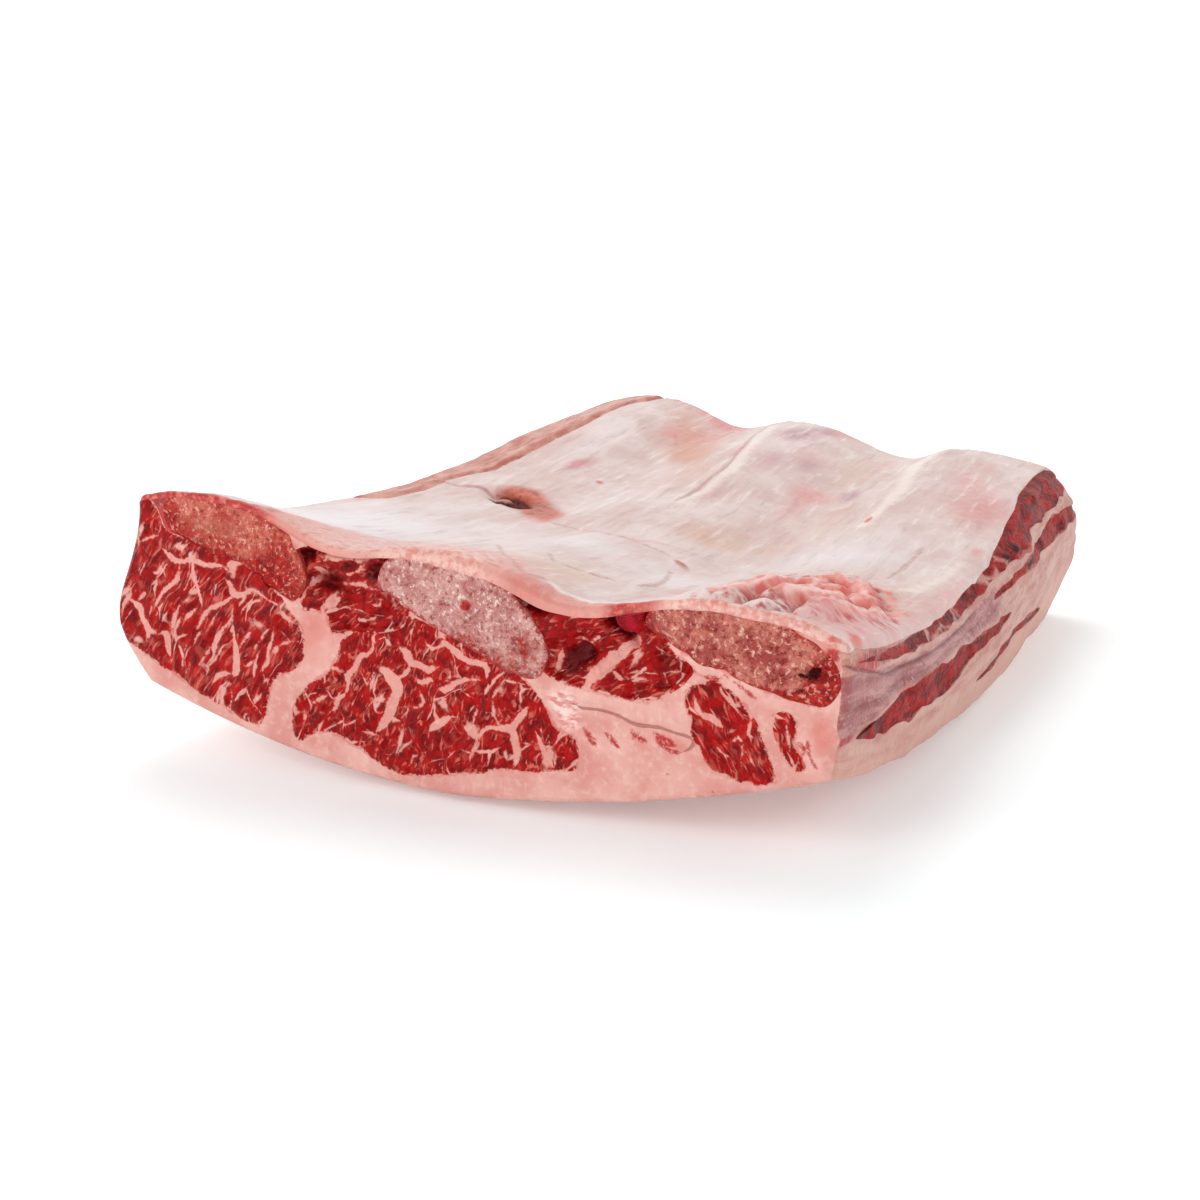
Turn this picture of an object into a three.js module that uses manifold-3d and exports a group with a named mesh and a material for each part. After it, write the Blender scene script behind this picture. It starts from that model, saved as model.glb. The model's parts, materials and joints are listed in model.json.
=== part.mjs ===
// A raw beef short rib: a slab with three rib bones, sawn square across the ribs at both ends.
// It lies on its fat cap with the smooth lining of the rib cage facing up. Millimetres, +Z up.
//
// The slab is described in "cut-face coordinates": x across the ribs and z above the table, both
// read on the front cut, and s, the distance behind that cut. Everything runs through the slab:
// bones and muscles keep their outline on the front cut and follow the curve of the ribs to the back.
import * as THREE from "three";
import { mergeVertices } from "three/addons/utils/BufferGeometryUtils.js";
import Module from "manifold-3d";

const wasm = await Module();
wasm.setup();

// ---- Driving dimensions of the slab ----
const LENGTH = 290; // along the ribs, front cut to back cut
const LEFT_EDGE = -106.5; // top edges of the front cut, measured from the middle rib
const RIGHT_EDGE = 102.5;
const CENTRE_X = 2.2; // moves the middle of the overall box onto the origin
const CENTRE_Y = -LENGTH / 2;
const FAN = [7.5, -0.105, 0.0004]; // how the ribs drift sideways on their way to the back
const CROWN = 62.2; // height of the top over the middle, without its ridges
const LEAN = [0.088, 0.123]; // the slab thins towards the right, by this slope, front and back
const SAG = 12.5; // how far the curve of the ribs dips below their ends
const SAG_AT = 117; // where it is deepest
const SAG_REACH = [96, 104]; // how far the dip reaches forwards and backwards
const FLAT_X = -5.5; // middle of the stretch that touches the table
const FRONT_LIFT = { rise: 2.6, run: 45 };
const BACK_LIFT = { rise: 5, run: 35 };
const LEFT_LIFT = { front: 19.7, back: 12, power: 1.85, flat: 30, run: 60 };
const RIGHT_LIFT = { front: 21, run: 195, power: 1.88 };
const LEFT_BULGE = [10.1, 6.4]; // the sides belly out, front and back
const RIGHT_BULGE = [0.8, 9.2];
const RIGHT_TUCK = 3; // the front right corner leans in at the bottom
const CORNERS = { frontLeft: 2, frontRight: 3, backLeft: 10, backRight: 12 }; // plan radii
const ROLL = { least: 2, most: 5, at: 2, reach: 26, back: 4 }; // rounding of the top's end edges
const SOLE_ROLL = [1.2, 4]; // rounding of the bottom's end edges, front and back
const KEEP = 26; // the layer under the top that keeps its thickness all the way back
const GAP = 0.3; // between neighbouring solids
const STEPS = 7; // stretches along a bone or muscle
const RING_STEP = 8.5; // spacing of the points around one

// Each rib lifts the lining into a rounded ridge, tallest where the rib is sawn off:
// its rise at the front, in the middle and at the back, and its half-widths, front and back.
const RIDGES = [
  { x: -78.3, rise: [12.5, 1.8, 7.3], left: [38.6, 23.7], right: [32, 25] },
  { x: -4.6, rise: [9, 3.9, 8.7], left: [30.5, 25], right: [26, 31] },
  { x: 75.8, rise: [10.3, 4.4, 10.3], left: [34, 29], right: [30.7, 48.4] },
];
const RIDGE_REACH = [30, 115]; // how far the taller ends of the ridges reach in
// Torn fat stands up near the front right corner.
const FLAP = { x: 76, s: 32, halfX: 18, halfS: 20, rise: 4.5 };

// The lining and its fat: thicker over the middle rib, thinner along the right-hand edge, and
// trimmed away at the back right corner, where the meat under it shows.
const LINING = { least: 2.2, most: 4.4, at: 6, reach: 24, thin: 0.8, trim: 5, trimFrom: 150 };

// ---- Outlines on the front cut, as [x, z] ----
const BONES = {
  rib_left: [[-97, 74], [-91, 79.5], [-79, 79.5], [-68, 78], [-59, 74.5], [-52, 66.5], [-50, 57],
    [-54, 51], [-62, 55], [-72, 60.5], [-84, 64], [-94, 67.5]],
  rib_middle: [[-27, 59], [-23, 65.5], [-14, 68], [-3, 66.5], [9, 62.5], [18, 56], [23, 47],
    [21.5, 39], [15, 38.5], [4, 43], [-8, 48], [-20, 54]],
  rib_right: [[50.5, 56.5], [54, 61.5], [65, 63.5], [77, 62.8], [89, 59], [98, 52.5], [100.5, 45],
    [96, 40.5], [86, 42], [74, 45.5], [61, 50]],
};
const RIB_MEAT = {
  intercostal_left: [[-54, 64], [-46, 68], [-34, 67], [-22, 68], [-18, 60], [-17, 52],
    [-20, 47], [-32, 45], [-42, 43.5], [-44, 49], [-51, 49.5]],
  intercostal_right: [[14, 61], [24, 58.5], [36, 58.5], [49, 61.5], [56, 59], [58, 50], [64, 46],
    [59, 40], [52, 36], [40, 36.5], [29, 38], [18, 44]],
};
const MUSCLES = {
  muscle_left: [[-120, 76], [-101, 76], [-96, 68], [-84, 65], [-72, 61], [-62, 56], [-56, 49],
    [-51, 40], [-53, 33], [-62, 28], [-65, 18], [-68, 13.5], [-82, 18.5], [-96, 25],
    [-108, 31], [-122, 38], [-124, 58]],
  muscle_middle: [[-43, 33], [-38, 42], [-30, 47.5], [-18, 51], [-6, 47.5], [6, 42.5], [17, 38],
    [22, 33], [26, 26], [32, 24], [32, 16], [22, 13.5], [10, 12], [-4, 8.6], [-20, 6.4],
    [-32, 10.5], [-44, 15.5], [-55, 12], [-56, 20], [-50, 28]],
  muscle_right: [[62, 40], [70, 43.5], [78, 38], [83, 28], [85.5, 20], [80, 18.5], [70, 20.5],
    [64, 29]],
  muscle_sliver: [[84.5, 37], [88, 38.5], [90.5, 36], [90, 31], [93, 25], [90.5, 23.5],
    [86.5, 28]],
};
// Strips of meat that the long right-hand cut lays open: how deep they reach in, and their top
// and bottom edges as [distance behind the front cut, height below the top edge].
const STRIPS = {
  flank_upper: { depth: 16,
    top: [[8, 3.6], [40, 1.8], [78, 0.8], [150, 0.4], [200, -3], [286, -6]],
    bottom: [[8, 5.4], [44, 6.4], [84, 5.4], [120, 4.8], [154, 4.6], [206, 7], [286, 9]] },
  flank_rear: { depth: 13,
    top: [[148, 7], [202, 8.6], [250, 9], [286, 10.5]],
    bottom: [[148, 9.4], [188, 11], [209, 13.6], [240, 16], [286, 16.5]] },
  flank_middle: { depth: 15,
    top: [[12, 22.5], [37, 17.3], [52, 14.4], [74, 12.6], [101, 11.4], [134, 13.2], [162, 15]],
    bottom: [[12, 26], [30, 27.2], [54, 25.8], [86, 23.6], [102, 19], [130, 17], [162, 18]] },
  flank_lower: { depth: 11,
    top: [[126, 26.5], [140, 24.4], [167, 23.8], [186, 26], [212, 30.6]],
    bottom: [[126, 29.4], [153, 28], [176, 28.4], [212, 33.6]] },
};

const mix = (a, b, t) => a + (b - a) * t;
const clamp01 = (t) => Math.min(1, Math.max(0, t));
const smooth = (t) => clamp01(t) ** 2 * (3 - 2 * clamp01(t));
const bell = (t) => Math.exp(-t * t);

// How far a quarter-round edge of the given radius has fallen away at a distance in from its end.
function roundOff(radius, distance) {
  const d = clamp01(1 - distance / radius);
  return radius * (1 - Math.sqrt(1 - d * d));
}

// A straight-line table lookup: knots are [position, value].
function along(knots, position) {
  const next = knots.findIndex(([p]) => p >= position);
  if (next <= 0) return (next < 0 ? knots.at(-1) : knots[0])[1];
  const [[p0, v0], [p1, v1]] = [knots[next - 1], knots[next]];
  return mix(v0, v1, (position - p0) / (p1 - p0));
}

// The ribs fan out a little: where a point at x on the front cut has got to, at s.
function fan(x, s) {
  return x + (s / LENGTH) * (FAN[0] + FAN[1] * x + FAN[2] * x * x);
}

// Height of the top, without the rounding of its ends.
function crown(x, s) {
  const t = s / LENGTH;
  const reach = SAG_REACH[s < SAG_AT ? 0 : 1];
  const [atFront, atBack] = [bell(s / RIDGE_REACH[0]), bell((LENGTH - s) / RIDGE_REACH[1])];
  let z = CROWN - mix(...LEAN, t) * x - SAG * bell((s - SAG_AT) / reach);
  for (const { x: middle, rise, left, right } of RIDGES) {
    const half = x < middle ? mix(...left, t) : mix(...right, t);
    const tall = rise[1] + (rise[0] - rise[1]) * atFront + (rise[2] - rise[1]) * atBack;
    z += tall * Math.exp(-(Math.abs((x - middle) / half) ** 2.8));
  }
  return z;
}

// Height of the underside, without the rounding of its ends.
function sole(x, s) {
  const t = s / LENGTH;
  const settled = smooth(s / LEFT_LIFT.run);
  let z = FRONT_LIFT.rise * clamp01(1 - s / FRONT_LIFT.run) ** 2;
  z += BACK_LIFT.rise * clamp01(1 - (LENGTH - s) / BACK_LIFT.run) ** 2;
  if (x < FLAT_X) {
    const flat = LEFT_LIFT.flat * settled;
    const out = Math.max(0, FLAT_X - x - flat) / (FLAT_X - LEFT_EDGE - flat);
    z += mix(LEFT_LIFT.front, LEFT_LIFT.back, t) * out ** LEFT_LIFT.power;
  } else {
    const out = (x - FLAT_X) / (RIGHT_EDGE - FLAT_X);
    const fade = clamp01(1 - s / RIGHT_LIFT.run) ** RIGHT_LIFT.power;
    z += RIGHT_LIFT.front * fade * (0.25 * out + 0.75 * out * out);
  }
  return z;
}

// A point of the front cut, carried along the ribs to s.
function carry(x, z, s) {
  const inside = Math.min(LENGTH, Math.max(0, s));
  const [top0, sole0] = [crown(x, 0), sole(x, 0)];
  const depth = top0 - z;
  let height = crown(x, inside) - depth;
  if (depth > KEEP) {
    const share = (z - sole0) / (top0 - KEEP - sole0);
    height = mix(sole(x, inside), crown(x, inside) - KEEP, share);
  }
  return [fan(x, inside) + CENTRE_X, s + CENTRE_Y, height];
}

// A closed mesh with its shared corners merged becomes a solid.
function solid(geometry) {
  const bare = geometry.clone();
  bare.deleteAttribute("normal");
  bare.deleteAttribute("uv");
  const merged = mergeVertices(bare, 1e-3);
  return new wasm.Manifold(new wasm.Mesh({
    numProp: 3,
    vertProperties: merged.attributes.position.array,
    triVerts: new Uint32Array(merged.index.array),
  }));
}

// Moves every corner of a geometry to shape(x, y, z).
function bend(geometry, shape) {
  const p = geometry.attributes.position;
  for (let i = 0; i < p.count; i++) p.setXYZ(i, ...shape(p.getX(i), p.getY(i), p.getZ(i)));
  return geometry;
}

// A unit box, cut into a grid, whose corners run from 0 to 1.
function unitBox(across, along_, up) {
  return new THREE.BoxGeometry(1, 1, 1, across, along_, up).translate(0.5, 0.5, 0.5);
}

// The height of the finished top, with its ends rounded and the torn flap.
function topOf(x, s) {
  const roll = ROLL.least + (ROLL.most - ROLL.least) * bell((x - ROLL.at) / ROLL.reach);
  const flap = FLAP.rise * bell((x - FLAP.x) / FLAP.halfX) * bell((s - FLAP.s) / FLAP.halfS);
  return crown(x, s) + flap - roundOff(roll, s) - roundOff(ROLL.back, LENGTH - s);
}

// The whole slab: across, along and up run from 0 to 1.
function slabPoint(across, alongShare, up) {
  // The steps are finer at both ends, where the edges are round.
  const s = LENGTH * (alongShare - (0.75 * Math.sin(2 * Math.PI * alongShare)) / (2 * Math.PI));
  const t = s / LENGTH;
  const left = LEFT_EDGE - mix(...LEFT_BULGE, t) * Math.sin(Math.PI * up ** 0.62) ** 1.7
    + roundOff(CORNERS.frontLeft, s) + roundOff(CORNERS.backLeft, LENGTH - s);
  const right = RIGHT_EDGE
    + mix(...RIGHT_BULGE, smooth(s / 208)) * Math.sin(Math.PI * up ** 1.4) ** 0.6
    - RIGHT_TUCK * (1 - up) ** 2 * (1 - smooth(s / 150))
    - roundOff(CORNERS.frontRight, s) - roundOff(CORNERS.backRight, LENGTH - s);
  const x = mix(left, right, across);
  const low = sole(x, s) + roundOff(SOLE_ROLL[0], s) + roundOff(SOLE_ROLL[1], LENGTH - s);
  return [fan(x, s) + CENTRE_X, s + CENTRE_Y, mix(low, topOf(x, s), up)];
}
const slab = solid(bend(unitBox(30, 17, 6), slabPoint));

// An outline on the front cut, smoothed and evenly stepped.
function ringOf(outline) {
  const curve = new THREE.CatmullRomCurve3(
    outline.map(([x, z]) => new THREE.Vector3(x, z, 0)), true, "centripetal");
  const points = Math.max(10, Math.round(curve.getLength() / RING_STEP));
  return curve.getSpacedPoints(points).slice(0, -1).map((p) => new THREE.Vector2(p.x, p.y));
}

// The same ring, grown outwards by a little over the gap, for cutting the neighbours.
function grown(ring) {
  const side = Math.sign(THREE.ShapeUtils.area(ring));
  return ring.map((point, i) => {
    const run = ring[(i + 1) % ring.length].clone().sub(ring.at(i - 1)).normalize();
    return new THREE.Vector2(run.y, -run.x).multiplyScalar(side * GAP * 1.25).add(point);
  });
}

// A ring run through the slab and a little past both ends.
function through(ring) {
  const run = new THREE.ExtrudeGeometry(new THREE.Shape(ring),
    { depth: 1, steps: STEPS, bevelEnabled: false });
  return solid(bend(run, (x, z, share) => carry(x, z, mix(LENGTH + 8, -8, share))));
}

// Everything above the underside of the lining, lowered by extra.
function liningBlock(extra) {
  const { least, most, at, reach, thin, trim, trimFrom } = LINING;
  return solid(bend(unitBox(22, 11, 1), (across, alongShare, up) => {
    const s = mix(-8, LENGTH + 8, alongShare);
    const inside = Math.min(LENGTH, Math.max(0, s));
    const rightEnd = s < trimFrom - 8 ? RIGHT_EDGE + 20
      : RIGHT_EDGE - trim * smooth((s - trimFrom) / 90) + extra;
    const x = mix(LEFT_EDGE - 20, rightEnd, across);
    const thick = least + (most - least) * bell((x - at) / reach)
      - thin * smooth((x - RIGHT_EDGE + 20) / 20);
    const z = crown(x, inside);
    return [fan(x, inside) + CENTRE_X, s + CENTRE_Y, up > 0.5 ? z + 30 : z - thick - extra];
  }));
}

// One strip of meat on the long right-hand side, tapered at both ends.
function flank({ depth, top, bottom }, extra) {
  const [from, to] = [top[0][0] - extra, top.at(-1)[0] + extra];
  return solid(bend(unitBox(2, 14, 1), (across, alongShare, up) => {
    const s = mix(from, to, alongShare);
    const x = mix(RIGHT_EDGE - depth - extra, RIGHT_EDGE + 14, across);
    const taper = Math.sqrt(1 - (2 * alongShare - 1) ** 4) * Math.sqrt(Math.min(1, 0.25 + across));
    const [high, low] = [along(top, s), along(bottom, s)];
    const half = ((low - high) / 2) * Math.max(0.12, taper) + extra;
    const z = crown(RIGHT_EDGE, s) - (high + low) / 2 + (up > 0.5 ? half : -half);
    return [fan(x, s) + CENTRE_X, s + CENTRE_Y, z];
  }));
}

// ---- Cutting the slab into its parts: each takes its room from those that follow ----
const parts = new THREE.Group();
let rest = slab;

// Takes a region out of what is left of the slab, and leaves the gap around it.
function take(name, colour, roughness, region, cutter) {
  const piece = rest.intersect(region).decompose().sort((a, b) => b.volume() - a.volume())[0];
  rest = rest.subtract(cutter);
  addMesh(name, colour, roughness, piece);
}

function addMesh(name, colour, roughness, piece) {
  const { vertProperties, triVerts } = piece.getMesh();
  const geometry = new THREE.BufferGeometry();
  geometry.setAttribute("position", new THREE.BufferAttribute(vertProperties, 3));
  geometry.setIndex(new THREE.BufferAttribute(triVerts, 1));
  geometry.computeVertexNormals();
  const material = new THREE.MeshStandardMaterial({ color: colour, roughness, metalness: 0 });
  const mesh = new THREE.Mesh(geometry, material);
  mesh.name = name;
  parts.add(mesh);
}

take("lining", 0xe3d3cf, 0.4, liningBlock(0), liningBlock(GAP));
const takeRun = (name, colour, roughness, outline) => {
  const ring = ringOf(outline);
  take(name, colour, roughness, through(ring), through(grown(ring)));
};
for (const [name, outline] of Object.entries(BONES)) takeRun(name, 0xc39a92, 0.6, outline);
for (const [name, strip] of Object.entries(STRIPS))
  take(name, 0x9c2a2c, 0.4, flank(strip, 0), flank(strip, GAP));
for (const [name, outline] of Object.entries(RIB_MEAT)) takeRun(name, 0x8f0d12, 0.35, outline);
for (const [name, outline] of Object.entries(MUSCLES)) takeRun(name, 0xa81a1c, 0.35, outline);
addMesh("fat", 0xe0b2a6, 0.45, rest.decompose().sort((a, b) => b.volume() - a.volume())[0]);

export default parts;
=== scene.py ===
import json

import bpy
import numpy as np
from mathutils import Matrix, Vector

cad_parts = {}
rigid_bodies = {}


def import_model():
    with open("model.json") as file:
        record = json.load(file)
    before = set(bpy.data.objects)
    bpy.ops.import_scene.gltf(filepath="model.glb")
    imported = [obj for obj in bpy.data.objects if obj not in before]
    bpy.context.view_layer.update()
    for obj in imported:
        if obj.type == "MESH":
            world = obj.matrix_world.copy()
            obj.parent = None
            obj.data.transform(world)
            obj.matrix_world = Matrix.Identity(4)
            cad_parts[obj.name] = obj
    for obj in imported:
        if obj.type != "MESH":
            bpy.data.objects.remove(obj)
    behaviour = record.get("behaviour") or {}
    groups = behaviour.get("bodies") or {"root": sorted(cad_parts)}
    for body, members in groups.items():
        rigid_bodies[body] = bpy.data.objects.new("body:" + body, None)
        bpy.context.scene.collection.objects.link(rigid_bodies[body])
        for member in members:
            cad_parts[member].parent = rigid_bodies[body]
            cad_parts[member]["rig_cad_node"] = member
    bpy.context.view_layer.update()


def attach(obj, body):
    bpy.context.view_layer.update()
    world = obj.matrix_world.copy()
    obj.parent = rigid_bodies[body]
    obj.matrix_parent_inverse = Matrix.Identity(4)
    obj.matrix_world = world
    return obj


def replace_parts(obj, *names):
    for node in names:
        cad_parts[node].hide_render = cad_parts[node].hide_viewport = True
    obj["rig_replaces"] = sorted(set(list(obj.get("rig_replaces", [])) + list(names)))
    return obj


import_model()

# ---- The lining ----
# The smooth skin of the rib cage, tough and wet, with a little white fat under it. It lies over
# the three ribs and sags between them. It is the top layer, cut from a skin of the whole slab.
#
# Sizes are in millimetres, in cut-face coordinates: x across and z above the table, both read on
# the front cut, and s, the distance behind that cut.
LENGTH = 290.0
LEFT_EDGE = -106.5
RIGHT_EDGE = 102.5
# Where x = 0 and s = 0 of the front cut lie in the model.
CENTRE_X = 2.2
CENTRE_Y = -145.0
# The ribs drift apart towards the back: a push, a share of x and a share of x squared.
DRIFT_PUSH = 7.5
DRIFT_SHARE = -0.105
DRIFT_CURVE = 0.0004
# The slab rests around this x.
FLAT_X = -5.5
# The top sags in a long bell of this depth around this s.
SAG = 12.5
SAG_S = 117.0
# Down to this depth under the top, what is inside follows the top from front to back.
KEEP = 26.0
# Each rib's x, its rise at the front, middle and back, and its half-widths: left, at the front
# and at the back, then right.
RIDGES = (
    (-78.3, 12.5, 1.8, 7.3, 38.6, 23.7, 32.0, 25.0),
    (-4.6, 9.0, 3.9, 8.7, 30.5, 25.0, 26.0, 31.0),
    (75.8, 10.3, 4.4, 10.3, 34.0, 29.0, 30.7, 48.4),
)


def mix(a, b, t):
    """From a to b by the share t."""
    return a + (b - a) * t


def smooth(t):
    """The share t held between 0 and 1 and eased at both ends: three t squared less two t cubed."""
    t = np.clip(t, 0.0, 1.0)
    return t * t * (3.0 - 2.0 * t)


def bell(t):
    """A bell of height 1 and half-width 1: e to the power of minus t squared."""
    return np.exp(-t * t)


def round_off(radius, distance):
    """How far a quarter-round edge has fallen away at a distance in from its end."""
    d = np.clip(1.0 - distance / radius, 0.0, 1.0)
    return radius * (1.0 - np.sqrt(1.0 - d * d))


def fan(x, s):
    """Where x on the front cut has got to at s: the ribs drift apart by a square law of x."""
    return x + (s / LENGTH) * (DRIFT_PUSH + DRIFT_SHARE * x + DRIFT_CURVE * x * x)


def crown(x, s):
    """Height of the top: a leaning plane, less a long bell for the sag, plus a ridge for each rib."""
    t = s / LENGTH
    reach = np.where(s < SAG_S, 96.0, 104.0)
    z = 62.2 - mix(0.088, 0.123, t) * x - SAG * bell((s - SAG_S) / reach)
    for middle, front, body, back, left0, left1, right0, right1 in RIDGES:
        half = np.where(x < middle, mix(left0, left1, t), mix(right0, right1, t))
        tall = body + (front - body) * bell(s / 30.0) + (back - body) * bell((LENGTH - s) / 115.0)
        z = z + tall * np.exp(-(np.abs((x - middle) / half) ** 2.8))
    return z


def sole(x, s):
    """Height of the underside: flat in the middle, lifted by powers of the distance to each side."""
    t = s / LENGTH
    flat = 30.0 * smooth(s / 60.0)
    z = 2.6 * np.clip(1.0 - s / 45.0, 0.0, 1.0) ** 2
    z = z + 5.0 * np.clip(1.0 - (LENGTH - s) / 35.0, 0.0, 1.0) ** 2
    left = np.maximum(0.0, FLAT_X - x - flat) / (FLAT_X - LEFT_EDGE - flat)
    right = np.maximum(0.0, x - FLAT_X) / (RIGHT_EDGE - FLAT_X)
    fade = np.clip(1.0 - s / 195.0, 0.0, 1.0) ** 1.88
    z = z + mix(19.7, 12.0, t) * left**1.85
    return z + 21.0 * fade * (0.25 * right + 0.75 * right * right)


DICE = np.random.default_rng(23).random((32, 32, 32))


def cloud(points, size):
    """Soft lumps from -1 to 1: dice on a cubic lattice of the given size, eased between corners."""
    place = points / size
    base = np.floor(place).astype(int)
    part = place - base
    part = part * part * (3.0 - 2.0 * part)
    total = 0.0
    for corner in np.ndindex(2, 2, 2):
        i, j, k = ((base + corner) % 32).T
        total = total + DICE[i, j, k] * np.prod(np.where(corner, part, 1.0 - part), axis=-1)
    return 2.0 * total - 1.0


def near_path(path, x, y):
    """Distance to a line of straight stretches, less its half-width there (the third number)."""
    nearest = np.full(x.shape, 60.0)
    for (ax, ay, aw), (bx, by, bw) in zip(path[:-1], path[1:]):
        dx = bx - ax
        dy = by - ay
        t = np.clip(((x - ax) * dx + (y - ay) * dy) / (dx * dx + dy * dy + 1e-9), 0.0, 1.0)
        gap = np.hypot(x - ax - t * dx, y - ay - t * dy) - mix(aw, bw, t)
        nearest = np.minimum(nearest, gap)
    return nearest


def nearest_line(paths, x, y, limit=60.0):
    """The smallest distance to any of the lines, less the half-width there, up to a limit."""
    nearest = np.full(x.shape, limit)
    for path in paths:
        nearest = np.minimum(nearest, near_path(path, x, y))
    return nearest


def read_off(table, at):
    """A table of pairs read at a place, going straight from row to row."""
    return np.interp(at, *np.array(table, float).T)


def patches(spots, x, s):
    """Soft oval patches, added up: strength times a bell of each oval's own turned coordinates."""
    total = np.zeros(x.shape)
    for at_x, at_s, half_x, half_s, turn, strength in spots:
        cos = np.cos(np.radians(turn))
        sin = np.sin(np.radians(turn))
        u = (x - at_x) * cos + (s - at_s) * sin
        v = (s - at_s) * cos - (x - at_x) * sin
        total = total + strength * np.exp(-((u / half_x) ** 2) - (v / half_s) ** 2)
    return total


# Ovals as x, s, half-width, half-length, turn in degrees, strength.
PINK_SPOTS = (
    (23, 202, 8, 13, 12, 0.45), (25, 180, 6, 16, 0, 0.4), (31, 205, 7, 12, 0, 0.3),
    (93, 205, 8, 24, 0, 0.5), (77, 238, 10, 20, 0, 0.4), (-42, 256, 9, 22, 0, 0.6),
    (-55, 243, 4.5, 10, 0, 0.7), (-46, 282, 14, 9, 0, 0.8), (84, 208, 9, 22, 0, 0.45),
    (-44, 122, 6, 9, -30, 0.8),
    (-12, 226, 6, 9, 0, 0.5), (-64, 184, 4, 10, -12, 0.55),
    (-30, 175, 12, 12, 0, 0.25), (40, 140, 9, 10, 0, 0.3), (97, 164, 2.2, 5, 0, 0.5),
    (0, 108, 20, 1.6, 10, 0.45), (5, 10, 18, 14, 0, 0.6), (-25, 25, 22, 24, 0, 0.25),
    (80, 60, 22, 34, 10, 0.8), (95, 20, 10, 18, 0, 0.7), (98, 285, 12, 6, 0, 0.7),
    (45, 286, 10, 4, 0, 0.6), (12, 284, 9, 5, 0, 0.7), (-70, 286, 16, 4, 0, 0.5),
    (85, 150, 10, 20, 0, 0.18), (100, 110, 5, 40, 0, 0.45), (10, 240, 10, 14, 0, 0.35),
)
TAN_SPOTS = (
    (-47, 248, 11, 34, 30, 1.0), (-36, 222, 9, 12, 20, 0.7), (-30, 262, 10, 18, 0, 0.4),
    (-98, 180, 5, 60, 0, 0.3), (12, 131, 9, 12, 0, 0.45), (100, 250, 8, 26, 0, 0.3),
    (-22, 196, 12, 14, 0, 0.4), (34, 262, 8, 12, 0, 0.3),
)
RED_SPOTS = (
    (-50, 173, 2.4, 2.0, 0, 0.8), (56.5, 176, 1.3, 5, 0, 1.0), (101, 10, 2.6, 5, 0, 0.8),
    (-66, 174, 2.0, 1.3, 0, 0.4), (-51, 240, 1.5, 14, 30, 0.5), (98, 0.5, 1.6, 1.6, 0, 0.7),
    (78, 88, 6, 5, -20, 0.35), (9, 37, 2, 2, 0, 0.3), (-13, 228, 1.6, 6, 0, 0.25),
)
LILAC_SPOTS = (
    (1.5, 224, 7, 14, 0, 0.6), (-3, 263, 9, 11, 0, 0.9), (6, 279, 8, 7, 0, 0.8),
    (38, 214, 4, 9, 0, 0.8), (63, 276, 8, 7, 0, 0.5), (15, 228, 5, 9, 0, 0.6),
    (-82, 137, 7, 2.0, 4, 1.0), (-65, 180, 3.6, 10, -12, 1.0), (-75, 90, 20, 14, 0, 0.25),
    (72, 232, 8, 16, 0, 0.35), (-20, 150, 14, 10, 0, 0.2), (70, 180, 12, 20, 0, 0.2),
)
CREAM_SPOTS = (
    (26, 134, 14, 16, 0, 0.55), (12, 131, 9, 13, 0, 0.45), (-37, 222, 12, 24, 0, 0.3),
    (10, 30, 15, 16, 0, 0.9), (70, 112, 18, 12, 0, 0.35), (0, 180, 9, 16, 0, 0.3),
    (40, 180, 14, 40, 0, 0.4), (30, 245, 10, 25, 0, 0.5), (-90, 235, 10, 40, 0, 0.35),
    (92, 90, 12, 40, 0, 0.5), (-30, 120, 22, 10, 0, 0.2), (75, 200, 14, 20, 0, 0.3),
)
# Bluish-white areas of painted sheen: the broad reflection from above on the wet top, painted into the
# colour.
PAINTED_SHEEN_SPOTS = (
    (-75, 55, 34, 45, 0, 0.9), (-15, 85, 26, 22, 0, 0.6), (50, 130, 22, 20, 0, 0.6),
    (-72, 205, 14, 36, 0, 0.4), (35, 70, 20, 16, 0, 0.6), (72, 145, 14, 30, 0, 0.4),
)
BROWN_SPOTS = (
    (-59, 136, 16, 9, -38, 1.2), (-68, 142, 8, 6, 0, 0.7), (-48, 126, 9, 8, -30, 0.6),
    (21, 93, 5.6, 2.0, -45, 1.0),
)
# The pit, sunk in the relief: its core is painted dark red-brown, partly stain and partly painted shade of
# the hollow.
PIT = (-66.0, 135.0, 10.0, 6.4, -22.0, 1.0)
ISLAND = (-67.5, 135.4, 5.6, 1.9, -22.0, 1.0)
# Where the white of the lining gives way to the pinker fat of the front edge, as x, s.
PINK_EDGE = (
    (-108, 2), (-70, 4), (-60, 18), (-52, 44), (-43, 56), (-21, 50), (-5, 44), (3, 28),
    (12, 12), (24, 8), (33, 6), (44, 3), (60, 1.5), (78, 3), (104, 5),
)
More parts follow.
